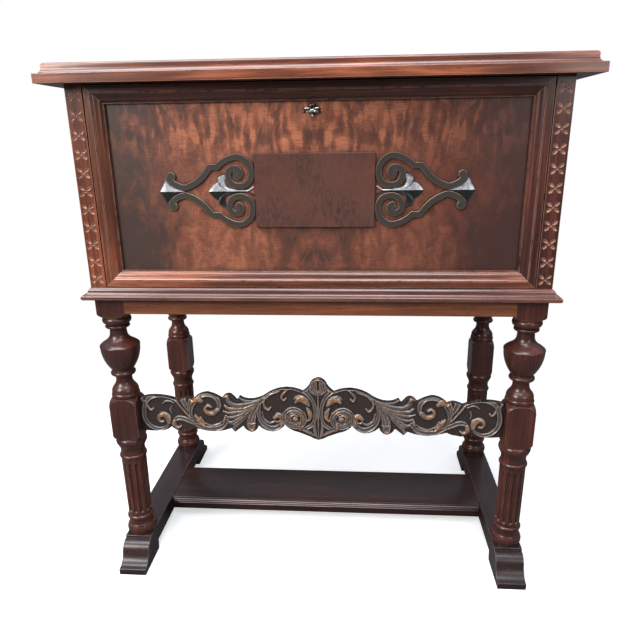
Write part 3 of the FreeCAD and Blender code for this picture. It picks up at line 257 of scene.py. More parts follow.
def along_the_grain(g, way):
    apart = g.add("SeparateXYZ", {0: g.spot()})
    turned = g.add("CombineXYZ", {i: apart[a] for i, a in enumerate(GRAIN_ORDER[way])})[0]
    chance = g.add("ObjectInfo")["Random"]
    far = g.add("CombineXYZ", {i: g.times(chance, 7.0 + i) for i in range(3)})[0]
    return g.add("VectorMath", {0: turned, 1: far}, operation="ADD")[0]


def new_material(title):
    material = bpy.data.materials.new(title)
    material.use_nodes = True
    return Graph(material.node_tree), material.node_tree.nodes["Principled BSDF"]


def cover(g, shader, color, roughness, relief, strength, depth, others):
    """Wire a finish into its shader; relief is the height that the bump shades."""
    bump = g.add("Bump", {"Strength": strength, "Distance": depth, "Height": relief})[0]
    g.feed(shader, {"Base Color": color, "Roughness": roughness, "Normal": bump, **others})


def varnished_wood(title, way, pale, body, dark, wear, corner_shade_and_dirt, coat, worn=(150, 98, 72)):
    g, shader = new_material(title)
    colors = {"Pale": pale, "Body": body, "Dark": dark}
    wood = g.add("Group", {"Position": along_the_grain(g, way), **colors}, node_tree=grain_group)
    # Dark corners, wide and narrow: wax and dust, and painted shade.
    shade_and_dirt = g.maths("MAXIMUM", g.mask(corner_shade_and_dirt_group, 0.018, corner_shade_and_dirt), g.mask(corner_shade_and_dirt_group, 0.004, 1.0))
    shaded_and_soiled = g.blend(shade_and_dirt, wood["Color"], OLD_WAX_AND_SHADE)
    final = g.blend(g.mask(wear_group, 0.0016, wear), shaded_and_soiled, worn)
    dull = g.plus(g.times(shade_and_dirt, 0.25), g.times(wood["Relief"], 0.2))
    cover(g, shader, final, g.plus(dull, 0.30), wood["Relief"], 0.25, 0.0004,
          {"Coat Weight": coat, "Coat Roughness": 0.14, "Specular IOR Level": 0.35})


WOODS = [
    # title, ways of the grain, tones (pale, body, dark), wear, corner darkening (dust and painted
    # shade), coat, tone of rubbed edges
    ("stained walnut", "z", (164, 100, 74), (104, 62, 47), (54, 33, 28), 1, 0.8, 0.5,
     (176, 122, 96)),
    ("lighter walnut", "xy", (176, 108, 72), (134, 78, 52), (78, 46, 35), 0.7, 0.8, 0.5),
    ("base walnut", "xy", (140, 86, 66), (98, 58, 47), (50, 32, 30), 1.4, 0.5, 1, (196, 146, 124)),
    ("frame walnut", "xz", (176, 100, 66), (106, 56, 38), (46, 25, 19), 1.6, 0.35, 0.8,
     (186, 132, 108)),
    ("post walnut", "z", (180, 96, 60), (108, 56, 39), (44, 24, 19), 1.6, 0.7, 0.5,
     (186, 130, 100)),
    # Painted shade: a darker copy of the frame walnut, for pieces that lie in shade.
    ("shaded walnut", "xz", (114, 58, 44), (72, 37, 31), (36, 20, 19), 1.6, 0.35, 0.5,
     (168, 118, 98)),
    ("turned walnut", "z", (106, 54, 42), (74, 37, 30), (34, 19, 17), 0.9, 0.9, 0.5),
    # Shelf and feet rub to a cold grey at the edges: wear, and a painted sheen.
    ("shelf walnut", "x", (74, 42, 36), (50, 30, 27), (28, 19, 18), 1.2, 0.8, 0.3, (128, 112, 110)),
    ("foot walnut", "y", (66, 44, 40), (46, 31, 30), (26, 20, 21), 1.2, 0.8, 0.4, (128, 116, 116)),
    # Almost white: rubbed reeds, and a painted highlight.
    ("rubbed reed walnut", "x", (206, 186, 184), (168, 148, 146), (100, 84, 82), 0, 0.2, 1),
    ("walnut bared by the gouge", "z", (232, 184, 160), (196, 144, 120), (140, 96, 78), 0, 0.2, 1),
    ("oiled inner wood", "xyz", (176, 134, 96), (150, 108, 74), (104, 70, 46), 0.3, 0.5, 0.1),
]
for title, ways, *recipe in WOODS:
    for way in ways:
        varnished_wood(title + " " + way if len(ways) > 1 else title, way, *recipe)
print("varnished woods:", [m.name for m in bpy.data.materials])

# %% [markdown]
# ## The figured panel
#
# The fall's panel is cut where a branch leaves the trunk. Bright tongues of orange-brown
# stand in its upper part, two warm clouds lie below with a darker rib between, and the
# halves nearly mirror each other. Reading the noise at the distance from the middle gives
# that match, and a second noise bends it, so that it doesn't look folded. The panel turns
# almost black towards its ends, a darker stain and painted shade, and its right half is
# darkened further as painted shade.

# %% Make the figured veneers
UPPER_PART = (0.845, 0.895)  # heights and distances in metres, where a change begins and ends
LOWER_PART = (0.790, 0.715)
INSIDE_OF_THE_FALL = (-0.199, -0.195)
# The colour of the veneer's dark corners: dirt, and painted shade.
VENEER_DIRT_AND_SHADE = (24, 17, 15)


def polish(g, shader, spot, color, satin, fine):
    # Dark corners on the veneer: dirt, and painted shade.
    shaded_and_dirty = g.blend(g.mask(corner_shade_and_dirt_group, 0.012, 0.7), color, VENEER_DIRT_AND_SHADE)
    cover(g, shader, shaded_and_dirty, g.plus(g.times(g.noise(spot, 12, 3), 0.2), satin), fine, 0.15, 0.0003,
          {"Coat Weight": 0.35, "Coat Roughness": 0.2})


def flame_veneer():
    g, shader = new_material("flame walnut")
    spot = g.spot()
    x, y, z = g.add("SeparateXYZ", {0: spot})
    out = g.maths("ABSOLUTE", x)
    bent = g.plus(out, g.times(g.noise(spot, (9, 9, 4), 2), 0.07))
    matched = g.add("CombineXYZ", {0: bent, 1: y, 2: z})[0]
    mottle = g.noise(matched, (40, 10, 22), 6, 0.4, 0.66)
    tongues = g.noise(matched, (70, 10, 24), 2, 0.1, 0.45)
    rings = g.maths("SINE", g.times(tongues, 95.0))
    ripples = g.noise(spot, (45, 10, 560), 3, 0.4)
    upper = g.spread(z, *UPPER_PART)
    lower = g.spread(z, *LOWER_PART)
    cloud = g.times(g.spread(out, 0.03, 0.13), g.spread(out, 0.33, 0.20))
    # Towards the ends: darker stain, and painted shade.
    ends = g.spread(bent, 0.22, 0.42)
    warmth = g.times(mottle, 1.7)
    for share, part in ((0.30, g.times(cloud, lower)), (-0.26, lower), (-0.52, ends),
                        (0.06, upper), (0.12, ripples), (0.04, rings), (-0.48, 1.0)):
        warmth = g.plus(warmth, g.times(part, share))
    low = g.blend(g.spread(warmth, -0.15, 0.34), (66, 48, 42), (110, 64, 48))
    middle = g.blend(g.spread(warmth, 0.20, 0.76), low, (166, 100, 72))
    lit = g.times(g.spread(tongues, 0.50, 0.60), upper)
    lit = g.times(lit, g.spread(bent, 0.42, 0.22, 0.1, 1.0))
    lit = g.times(lit, g.spread(ripples, 0.3, 0.6, 0.7, 1.0))
    flames = g.blend(g.times(lit, 0.75), middle, (206, 126, 90))
    between = g.times(g.spread(tongues, 0.46, 0.36), upper)
    darker = g.blend(g.times(between, 0.65), flames, (76, 48, 40))
    rippled = g.blend(g.spread(ripples, 0.50, 0.36, 0.0, 0.28), darker, (64, 42, 36))
    # Painted shade: the panel darkens towards its right side.
    shade = g.blend(g.spread(x, -0.04, 0.24, 0.0, 0.5), rippled, (64, 28, 24))
    plain = g.blend(g.spread(mottle, 0.3, 0.7), (96, 58, 44), (124, 76, 56))
    color = g.blend(g.spread(y, *INSIDE_OF_THE_FALL), shade, plain)
    polish(g, shader, spot, color, 0.3, ripples)


def burr_veneer():
    g, shader = new_material("burr walnut")
    spot = g.spot()
    slant = g.add("Mapping", {"Vector": spot, "Rotation": (0, 0.6, 0), "Scale": (90, 30, 42)})[0]
    curls = g.noise(slant, 1, 4, 1.8, 0.6)
    clouds = g.noise(spot, 14, 3)
    low = g.blend(g.spread(curls, 0.34, 0.62), (70, 45, 39), (92, 60, 51))
    color = g.blend(g.spread(clouds, 0.35, 0.68, 0.0, 0.6), low, (102, 62, 50))
    polish(g, shader, spot, color, 0.26, curls)


flame_veneer()
burr_veneer()
print("woods and veneers:", len(bpy.data.materials))

# %% [markdown]
# ## Painted carving, brass and steel
#
# The carved board is painted a brown-black; its raised bands are rubbed pale and get a cold
# grey, a painted reflection, its hollows a near black, painted shade, and the leaf heads
# are gilded with copper and gold. That is brushed on stroke by stroke, so each vertex of the
# carving carries two numbers, how much gilding it got and how proud it stands, which also
# sets the painted reflection and shade, and the paint reads them. The metalwork inside is
# brass, brown in its corners.

# %% Make the carving's paint and the metals
# Near black for the carving's hollows and corners: soot, and painted shade.
SOOT_AND_SHADE = (14, 13, 13)


def painted_carving(title, rough, ground, crest_sheen, dust, copper, gold):
    g, shader = new_material(title)
    gilt, proud_sheen_and_shade = (g.add("Attribute", attribute_name=name)["Fac"] for name in ("gilt", "proud_sheen_and_shade"))
    spot = g.spot()
    patches = g.noise(spot, 110, 4, 0.0, 0.6)
    fine = g.noise(spot, 420, 2)
    # Painted reflection: raised parts turn to the cold grey crest colour. Painted shade: the lowest
    # parts turn near black.
    base = g.blend(g.spread(proud_sheen_and_shade, 0.5, 0.72), ground, crest_sheen)
    hollow = g.blend(g.spread(proud_sheen_and_shade, 0.48, 0.28, 0.0, 0.85), base, SOOT_AND_SHADE)
    metal = g.blend(g.spread(patches, 0.40, 0.62), copper, gold)
    brushed = g.times(g.spread(proud_sheen_and_shade, 0.56, 0.9), g.spread(patches, 0.3, 0.6, 0.2, 0.6))
    worn = g.plus(gilt, g.times(g.maths("SUBTRACT", patches, 0.5), 1.9))
    leafed = g.spread(g.times(worn, g.plus(gilt, 0.4)), 0.06, 0.9, 0.0, 0.85)
    leafed = g.times(leafed, g.spread(gilt, 0.01, 0.12))
    rub = g.times(g.mask(wear_group, 0.0015, 0.7), 0.5)
    dusted = g.blend(g.maths("MAXIMUM", brushed, rub), hollow, dust)
    gilded = g.blend(leafed, dusted, metal)
    # Dark corners: dust, and painted shade.
    shaded_and_soiled = g.blend(g.mask(corner_shade_and_dirt_group, 0.004, 0.55), gilded, SOOT_AND_SHADE)
    cover(g, shader, shaded_and_soiled, g.plus(g.times(fine, 0.2), rough - 0.1), fine, 0.25, 0.0004,
          {"Metallic": g.times(leafed, 0.5), "Coat Weight": 0.3, "Coat Roughness": 0.2})


def aged_metal(title, rough, bright, brown):
    g, shader = new_material(title)
    spot = g.spot()
    stains = g.spread(g.noise(spot, 60, 4), 0.42, 0.70, 0.0, 0.8)
    tarnish = g.maths("MAXIMUM", stains, g.mask(corner_shade_and_dirt_group, 0.004, 0.9))
    color = g.blend(tarnish, bright, brown)
    scratches = g.noise(spot, (900, 900, 120), 2)
    cover(g, shader, color, g.plus(g.times(tarnish, 0.3), rough), scratches, 0.1, 0.0002,
          {"Metallic": 1.0})


# title, roughness and tones: ground, crest (a painted reflection on raised parts), dust, copper and
# gold for a paint
painted_carving("painted carving", 0.26, (52, 41, 38), (84, 86, 92), (150, 122, 98), (150, 102, 76),
                (200, 154, 110))
# For the frets, copper and gold are the pale pink of the chamfers: rubbed paint, and a painted
# highlight.
painted_carving("fret paint", 0.42, (54, 50, 44), (54, 50, 44), (140, 112, 98), (156, 124, 108),
                (166, 136, 120))
# For the leaves, copper and gold are a painted sheen, silver-grey.
painted_carving("silvered leaf paint", 0.3, (24, 26, 25), (24, 26, 25), (150, 150, 152),
                (186, 188, 192), (216, 216, 220))
# title, roughness and tones: bright and brown for a metal
aged_metal("old brass", 0.28, (196, 158, 92), (92, 66, 40))
aged_metal("blackened iron", 0.3, (62, 60, 60), (24, 22, 22))
aged_metal("plain steel", 0.26, (196, 194, 190), (116, 110, 104))
aged_metal("browned bronze", 0.42, (122, 92, 76), (74, 56, 48))
print("materials:", len(bpy.data.materials))

# %% [markdown]
# ## Give every measured piece its finish
#
# Each measured piece already exists, so it only needs the right material. The table goes by
# finish, with the grain along each piece's longest side, as a joiner runs it. An @ in a
# name stands for left and right.

# %% Hand out the finishes
# Each line: finish, width of the eased edges in tenths of a millimetre (0 for none), pieces.
# Shaded walnut is painted shade, a darker copy of the frame and post walnut for the top rail under
# the slab and the right-hand stile and post.
FINISHES = """
turned walnut | 0 | front_@_leg rear_@_leg
foot walnut | 9 | @_foot_runner
shelf walnut | 9 | shelf
stained walnut | 9 | @_side
frame walnut x | 9 | top_slab
frame walnut x | 5 | fall_bottom_rail
frame walnut z | 5 | fall_left_stile
shaded walnut x | 5 | fall_top_rail
shaded walnut z | 5 | fall_right_stile
shaded walnut z | 0 | right_post
post walnut | 0 | left_post
lighter walnut x | 6 | front_apron rear_apron
lighter walnut y | 6 | @_apron
base walnut x | 6 | front_base_moulding
base walnut y | 6 | @_base_moulding
flame walnut | 0 | fall_panel
burr walnut | 10 | centre_tablet
painted carving | 0 | carved_stretcher
fret paint | 0 | @_fret
oiled inner wood x | 6 | rear_base_rail back_panel
oiled inner wood x | 5 | cabinet_floor gallery_top @_drawer_shelf @_drawer_front
oiled inner wood x | 0 | floor_bearer @_drawer_knob
oiled inner wood y | 5 | @_drawer_box
oiled inner wood z | 5 | gallery_@_end gallery_@_divider letter_partitions
old brass | 3 | @_pivot_leaf @_keeper lock_case
old brass | 0 | @_pivot_plate strike_plate @_quadrant
browned bronze | 0 | escutcheon
plain steel | 0 | lock_bolt key
"""
finish_of, edge_of = {}, {}
for row in FINISHES.strip().splitlines():
    finish, tenths, names = row.split(" | ")
    for name in names.split():
        for side in ("left", "right") if "@" in name else ("",):
            finish_of[name.replace("@", side)] = finish
            edge_of[name.replace("@", side)] = int(tenths) / 10000
for name, piece in frame["nodes"].items():
    piece.data.materials.clear()
    piece.data.materials.append(bpy.data.materials[finish_of[name]])
print("finished pieces:", len(finish_of))

# %% [markdown]
# ## Ease the boards' sharp edges
#
# No joiner leaves a razor-sharp arris, and a sharp digital edge never catches the light.
# The measured boards stay as they are; a copy of each has its edges eased by a Bevel
# modifier, which stays editable, and stands in for the board. Only edges that stick out are
# eased, as the inner corners of real mouldings are crisp.

# %% Copy the boards with eased edges
SHARP = radians(28)
slot_of = {part["node"]: part["material_slot"] for part in frame["record"]["subparts"]}


def cleaned(mesh):
    """The mesh as a bmesh, its split corners joined and its flat triangles merged."""
    shape = bmesh.new()
    shape.from_mesh(mesh)
    bmesh.ops.remove_doubles(shape, verts=shape.verts, dist=2e-6)
    bmesh.ops.dissolve_limit(shape, angle_limit=radians(0.2), verts=shape.verts, edges=shape.edges)
    return shape


def turn_outwards(shape):
    bmesh.ops.recalc_face_normals(shape, faces=shape.faces)


def new_mesh(name, shape, finish):
    mesh = bpy.data.meshes.new(name)
    mesh.materials.append(bpy.data.materials[finish])
    shape.to_mesh(mesh)
    shape.free()
    return new_object(name, mesh)


def new_piece(name, shape, finish, body, slot, *replaced):
    piece = new_mesh(name, shape, finish)
    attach(piece, body)
    if replaced:
        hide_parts(*replaced)
    return piece


def eased(name, width):
    cad = frame["nodes"][name]
    shape = cleaned(cad.data)
    weight = shape.edges.layers.float.new("bevel_weight_edge")
    for edge in shape.edges:
        turn = edge.calc_face_angle(0)
        edge.smooth = turn < SHARP
        if turn >= SHARP and edge.is_convex:
            edge[weight] = 1
    for face in shape.faces:
        face.smooth = True
    piece = new_piece(name + "_eased", shape, finish_of[name], cad["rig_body"], slot_of[name], name)
    attributes = piece.data.attributes
    if "custom_normal" in attributes:
        attributes.remove(attributes["custom_normal"])
    ease = piece.modifiers.new("eased edges", "BEVEL")
    ease.limit_method = "WEIGHT"
    ease.width = width
    ease.segments = 2
    ease.harden_normals = True
    return piece


boards = [eased(name, width) for name, width in edge_of.items() if width]
print("eased boards:", len(boards))

# %% [markdown]
# ## The carved stretcher
#
# The board between the front legs is carved with running scrolls, leaves and a shell at its
# middle. It could be sculpted by hand, but a carver works stroke by stroke, and so does
# this cell: each stroke is a smooth line with a width, a height and a section, such as a
# hollow band or a rounded leaf head. The strokes are cut in order into a fine grid of
# heights, later ones over earlier ones.

# %% Draw a carver's strokes into a grid of heights
CARVING_STEP = 0.8  # millimetres between two spots of the grid
GROUND = 0.28
LEAF_GILDING, LEAF_SPREAD = 0.8, 1.3  # a round stroke with as much gilding is a leaf head
ROSETTE_END, BAND_SPREAD = 75, 1.22  # bands further out than this are cut wider
HOLLOW_WALL, HOLLOW_FLOOR, BLADE_WALL, BLADE_LOW = 0.22, 0.35, 0.15, 0.3


def spots(text):
    """The points of a line that is written as 1,2 3,4 and so on."""
    return [tuple(map(float, spot.split(","))) for spot in text.split()]


def smooth_line(points, step=0.5):
    """A smooth line through all the points, with a spot about every step."""
    knots = np.array(points, float)
    padded = np.vstack([2 * knots[0] - knots[1], knots, 2 * knots[-1] - knots[-2]])
    runs = []
    for a, b, c, d in zip(padded, padded[1:], padded[2:], padded[3:]):
        count = max(2, int(np.linalg.norm(c - b) / step))
        t = np.linspace(0, 1, count, endpoint=False)[:, None]
        runs.append(0.5 * (2 * b + (c - a) * t + (2 * a - 5 * b + 4 * c - d) * t ** 2
                           + (3 * b - a - 3 * c + d) * t ** 3))
    return np.vstack(runs + [knots[-1:]])


def section(kind, t, side):
    """Height across a stroke, from 0 to 1; t is 0 on its line and 1 at its edge."""
    if kind == "round":
        return np.sqrt(np.clip(1 - t ** 2, 0, 1))
    if kind == "hollow":
        wall = np.clip((1 - t) / HOLLOW_WALL, 0, 1)
        bowl = np.clip(t / (1 - HOLLOW_WALL), 0, 1) ** 2
        return wall * (HOLLOW_FLOOR + (1 - HOLLOW_FLOOR) * bowl)
    lean = np.clip((t * side + 1) / 2, 0, 1)
    return np.clip((1 - t) / BLADE_WALL, 0, 1) * (BLADE_LOW + (1 - BLADE_LOW) * lean)


def carve(heights, gilding, grid_u, grid_z, stroke):
    kind, widths, top, gilt, points = stroke
    is_leaf = kind == "round" and gilt >= LEAF_GILDING
    if is_leaf:
        widths = [w * LEAF_SPREAD for w in widths]
    elif kind != "round" and points[0][0] > ROSETTE_END:
        widths = [w * BAND_SPREAD for w in widths]
    line = smooth_line(points)
    along = np.linspace(0, 1, len(line))
    half = np.interp(along, np.linspace(0, 1, len(widths)), widths) / 2
    (left, low), (right, high) = line.min(0) - half.max(), line.max(0) + half.max()
    near = (grid_u > left) & (grid_u < right) & (grid_z > low) & (grid_z < high)
    u, z = grid_u[near], grid_z[near]
    away = np.hypot(u[:, None] - line[None, :, 0], z[:, None] - line[None, :, 1])
    nearest = (away / half[None, :]).argmin(1)
    t = away[np.arange(len(u)), nearest] / half[nearest]
    heading = np.gradient(line, axis=0)[nearest]
    side = np.sign(heading[:, 0] * (z - line[nearest, 1]) - heading[:, 1] * (u - line[nearest, 0]))
    inside = t < 1
    rise = section(kind, t, side)
    if is_leaf:  # veins along the leaf, and gilding that fades to its ends
        rise = rise * (1 - 0.16 * np.cos(np.clip(t, 0, 1) * side * 7.5) ** 4)
        gilt = gilt * (0.4 + 0.6 * np.sin(pi * nearest[inside] / (len(line) - 1)))
    foot = GROUND * 0.6
    cut, gold = heights[near], gilding[near]
    cut[inside] = foot + (top - foot) * rise[inside]
    gold[inside] = gilt * np.clip(rise[inside] * 1.4 - 0.4, 0, 1)
    heights[near], gilding[near] = cut, gold


# %% List the strokes of one half, from the leg to the middle
# Each line is a stroke: its section, the widths along it, its height (1 is the board's front)
# and gilding, and its points, as distances from the middle and heights above the floor, in
# millimetres. An indented line goes on with the points.
STROKES = """
# the scroll beside the leg, its hooks and leaf
round 5 7 5 | 0.62 0.1 | 372,392 368,382 364,372
hollow 3 6 8 9 9 8 6 4 | 0.92 0.25 | 297,380 312,387 330,390 347,386 359,375 365,357 365,339
    358,324 345,315 330,314 318,321 314,332
round 3 4.5 3 | 0.85 0.8 | 359,380 357,369 353,360 348,357 345,361
round 2 3.5 3 | 0.7 0.35 | 300,374 309,378 318,377 324,372
round 2 4 2 | 0.6 0.5 | 306,366 309,358 307,350
round 8 12 9 6 4 | 1 0.95 | 314,329 316,341 326,347 335,341 333,332 326,331
# the stems that cross, and their curl
hollow 5 9 9 5 | 0.9 0.4 | 257,325 270,333 284,339 297,338 304,330
round 7 9 6 3 | 0.95 0.9 | 302,333 303,323 296,317 289,321
hollow 12 10 5 3 | 0.8 0.4 | 283,388 278,374 272,360 264,343
blade 3 5 5 3 | 0.85 0.7 | 263,390 268,374 270,358 262,340
round 4 4.5 4 4 3 | 0.88 0.55 | 298,384 291,372 281,358 270,344 258,331
# the second scroll and its leaf heads
hollow 4 6 8 10 11 11 10 9 8 7 | 0.95 0.3 | 259,331 266,347 264,365 256,381 243,392 228,395
    214,390 206,378 206,365 213,355
round 9 9 8 6 4 | 1 0.85 | 209,360 218,352 229,352 235,361 229,369 222,366
round 3 9 13 8 | 1 0.95 | 264,372 259,380 250,384 242,379
hollow 6 10 12 10 5 | 0.9 0.35 | 258,326 242,318 224,315 208,318 196,326 190,336
blade 3 4 4 2 | 0.7 0.35 | 240,331 224,324 208,328 198,337
round 5 10 8 4 | 1 1 | 257,345 251,336 244,327 237,320
round 3 4 3 | 0.8 0.7 | 246,341 241,333 238,326
round 3 5.5 4 | 0.95 1 | 193,346 195,338 197,331
# the fan of leaf blades
blade 4 8 9 6 | 0.78 0.15 | 118,384 140,381 156,385 163,394
blade 4 7 9 9 6 | 0.9 0.25 | 122,381 146,373 168,369 183,376 190,389
round 4 8 6 | 1 0.8 | 184,384 190,392 197,390
round 3 6 4 | 0.85 0.3 | 163,387 165,393 161,399
blade 4 7 9 8 5 | 0.85 0.75 | 124,378 150,363 170,361 185,362 193,368
blade 4 7 8 7 3 | 0.8 0.35 | 126,376 152,357 172,353 186,352 197,356
blade 4 7 8 7 4 | 0.82 0.25 | 127,374 156,350 174,343 186,342 192,345
blade 4 6 8 9 6 | 0.8 0.25 | 127,373 155,346 170,335 180,330 187,331
blade 3 6 8 9 6 | 0.72 0.3 | 126,373 148,349 163,334 173,322 177,314
blade 3 4 4 3 | 0.9 0.6 | 125,374 147,352 162,338 177,326
hollow 4 9 14 16 15 | 0.85 0.7 | 125,373 132,358 138,342 140,330 140,321
round 2 5 7 6 | 0.7 0.2 | 127,365 134,350 138,336 139,326
round 5 6 4 | 0.75 0.5 | 132,331 139,328 146,332
# the third scroll with its hooks
hollow 3 5 7 8 9 9 8 7 7 7 7 6 | 0.92 0.35 | 124,374 112,390 96,404 77,411 57,413 39,409 24,401
    13,387 7,370 6,352 10,334 21,323 36,318
blade 2 4 4 3 | 0.8 0.7 | 122,374 111,384 98,397 80,404
round 2 4 5 4 3 | 0.9 1 | 62,408 70,400 75,391 71,384 66,388
round 2 4 5 5 3 | 0.9 0.9 | 108,390 112,379 110,368 103,362 98,367
hollow 4 6 8 10 11 10 8 | 0.92 0.3 | 120,374 123,354 119,336 108,324 94,319 81,325 73,338
blade 2 4 5 3 | 0.75 0.2 | 116,356 112,341 101,333 90,336
round 8 12 10 6 | 1 0.9 | 76,328 73,341 82,350 91,344
round 3 4 3 | 0.8 0.5 | 92,342 87,335 81,336
# the rosette and the leaves that hold it
hollow 9 9 9 8 8 | 0.96 0.95 | 68,333 71,345 66,358 53,365 40,362 30,353
hollow 8 8 8 7 | 0.9 0.6 | 30,354 27,341 33,328 46,323 58,326 66,335
hollow 6 6 6 6 5 | 1 0.8 | 60,335 63,345 58,354 48,358 38,353 34,343 39,334 49,331 57,335
round 4 4 3 | 0.95 0.9 | 56,339 57,347 50,352 42,349
round 13 13 | 1 0.3 | 47,342 48,342.5
round 6 13 12 5 | 1 0.9 | 19,374 27,384 38,388 46,380
round 2 4 3 | 0.75 0.4 | 50,386 46,391 38,395
round 5 9 7 3 | 0.95 0.85 | 22,366 17,355 17,344 23,338
round 4 7 5 | 0.95 1 | 38,333 39,326 37,318
# the lowest point, the middle rib and the shell
blade 8 8 3 | 0.7 0.5 | 30,318 17,311 4,303
blade 4 7 8 3 | 0.8 0.3 | 6,340 8,325 6,311 2,299
round 4 7 5 | 0.85 0.7 | 25,404 18,410 15,418
blade 3 6 6 4 | 0.8 0.5 | 5,396 12,401 17,409 15,420
hollow 3 6 7 5 | 0.9 0.4 | 3,397 9,407 12,419 10,430
hollow 2 5 6 5 | 0.92 0.45 | 1,398 4,410 5,422 4,432
round 5 9 9 5 | 1 1 | -6,431 -2,433 2,433 6,431
round 3 5 5 4 2 | 0.9 0.35 | 0,404 0,385 0,360 0,330 0,300
"""


def read_strokes(text):
    for row in text.strip().replace("\n    ", " ").splitlines():
        if not row.startswith("#"):
            shaping, levels, points = row.split("|")
            kind, *widths = shaping.split()
            top, gilt = map(float, levels.split())
            yield kind, [float(w) for w in widths], top, gilt, spots(points)


strokes = list(read_strokes(STROKES))
print("strokes in one half:", len(strokes))

# %% [markdown]
# The grid is trimmed with the distance to the measured outline: spots just outside it are
# drawn onto it, so the edge follows the board and not the grid. Near the edge the height
# falls off, because the carver rounds the rim over.

# %% Trim the grid to the board
RIM_WIDTH, RIM_DROP = 3.2, 0.75  # millimetres that are rounded over, and share of the height


def mark(mesh, title, domain, values):
    layer = mesh.attributes.new(title, "FLOAT", domain)
    layer.data.foreach_set("value", np.float32(values))


def outlines_of(node, join=2e-6):
    """The outlines of a measured board's front faces, anticlockwise and in millimetres."""
    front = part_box(node)[0].y
    shape = cleaned(frame["nodes"][node].data)
    bmesh.ops.remove_doubles(shape, verts=shape.verts, dist=join)
    faces = [face for face in shape.faces
             if abs(face.calc_center_median().y - front) < 1e-4 and face.calc_area() > 1e-4]
    found = [np.array([(loop.vert.co.x, loop.vert.co.z) for loop in face.loops]) * 1000
             for face in faces]
    shape.free()
    return found


def rim_distance(outline, u, z):
    """Distance from each spot to the outline, above 0 inside it, and the nearest spot on it."""
    best = np.full(u.shape, 1e9)
    spot_u, spot_z = u.copy(), z.copy()
    inside = np.zeros(u.shape, bool)
    for (au, az), (bu, bz) in zip(outline, np.roll(outline, -1, 0)):
        du, dz = bu - au, bz - az
        share = np.clip(((u - au) * du + (z - az) * dz) / (du * du + dz * dz + 1e-12), 0, 1)
        pu, pz = au + share * du, az + share * dz
        away = np.hypot(u - pu, z - pz)
        closer = away < best
        best[closer], spot_u[closer], spot_z[closer] = away[closer], pu[closer], pz[closer]
        if az != bz:
            crosses = (az > z) != (bz > z)
            inside ^= crosses & (u < (bu - au) * (z - az) / (bz - az) + au)
    return np.where(inside, best, -best), spot_u, spot_z


def blurred(grid, times, own):
    """The grid mixed so many times with its four neighbours; own is the weight of a spot."""
    for _ in range(times):
        wide = np.pad(grid, 1, mode="edge")
        around = wide[:-2, 1:-1] + wide[2:, 1:-1] + wide[1:-1, :-2] + wide[1:-1, 2:]
        grid = (grid * own + around) / (own + 4)
    return grid


low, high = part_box("carved_stretcher")
outline, = outlines_of("carved_stretcher")
across = np.arange(low.x * 1000, high.x * 1000 + CARVING_STEP, CARVING_STEP)
upward = np.arange(low.z * 1000, high.z * 1000 + CARVING_STEP, CARVING_STEP)
grid_x, grid_z = np.meshgrid(across, upward, indexing="ij")
heights = np.full(grid_x.shape, GROUND)
gilding = np.zeros(grid_x.shape)
for stroke in strokes:
    carve(heights, gilding, np.abs(grid_x), grid_z, stroke)
rim, rim_x, rim_z = rim_distance(outline, grid_x, grid_z)
heights = np.minimum(heights, 1 - RIM_DROP * np.clip(1 - rim / RIM_WIDTH, 0, 1) ** 2)
heights[1:-1, 1:-1] = blurred(heights, 1, 2)[1:-1, 1:-1]
print("grid:", grid_x.shape, "heights from", heights.min().round(2), "to", heights.max().round(2))

# %% [markdown]
# The grid becomes a mesh; its rim is drawn straight back and filled behind, so it is a
# solid board. How far a spot stands above its blurred surroundings says how much it is
# rubbed, and where the paint gets its painted grey reflection and painted shade; inside the
# strokes it is raised a little, so the middles of the bands get the reflection too. The
# gilding is blurred a little, as a brush leaves it.

# %% Make the carved board and close it behind
RELIEF_DEPTH, RELIEF_GAP = 0.0065, 0.0002

kept = rim > -0.75 * CARVING_STEP
drawn_in = kept & (rim < 0.3 * CARVING_STEP)
place_x = np.where(drawn_in, rim_x, grid_x) / 1000
place_z = np.where(drawn_in, rim_z, grid_z) / 1000
place_y = low.y + RELIEF_GAP + (1 - heights) * RELIEF_DEPTH
number = np.full(grid_x.shape, -1)
number[kept] = np.arange(kept.sum())
whole = kept[:-1, :-1] & kept[1:, :-1] & kept[:-1, 1:] & kept[1:, 1:]
quads = np.stack([number[:-1, :-1][whole], number[1:, :-1][whole], number[1:, 1:][whole],
                  number[:-1, 1:][whole]], 1)
places = np.stack([place_x[kept], place_y[kept], place_z[kept]], 1)
carving = bpy.data.meshes.new("carved grid")
carving.from_pydata(places.tolist(), [], quads.tolist())
# Inside a stroke the number is raised, on the ground lowered: painted reflection on the bands,
# painted shade between them.
in_stroke = np.clip((heights - GROUND - 0.06) / 0.1, 0, 1)
above = (heights - blurred(heights, 6, 0)) * 1.9
proud_sheen_and_shade = np.clip(0.5 + above + 0.25 * in_stroke - 0.04 * (1 - in_stroke), 0, 1)
mark(carving, "gilt", "POINT", blurred(gilding, 3, 2)[kept])
mark(carving, "proud_sheen_and_shade", "POINT", proud_sheen_and_shade[kept])

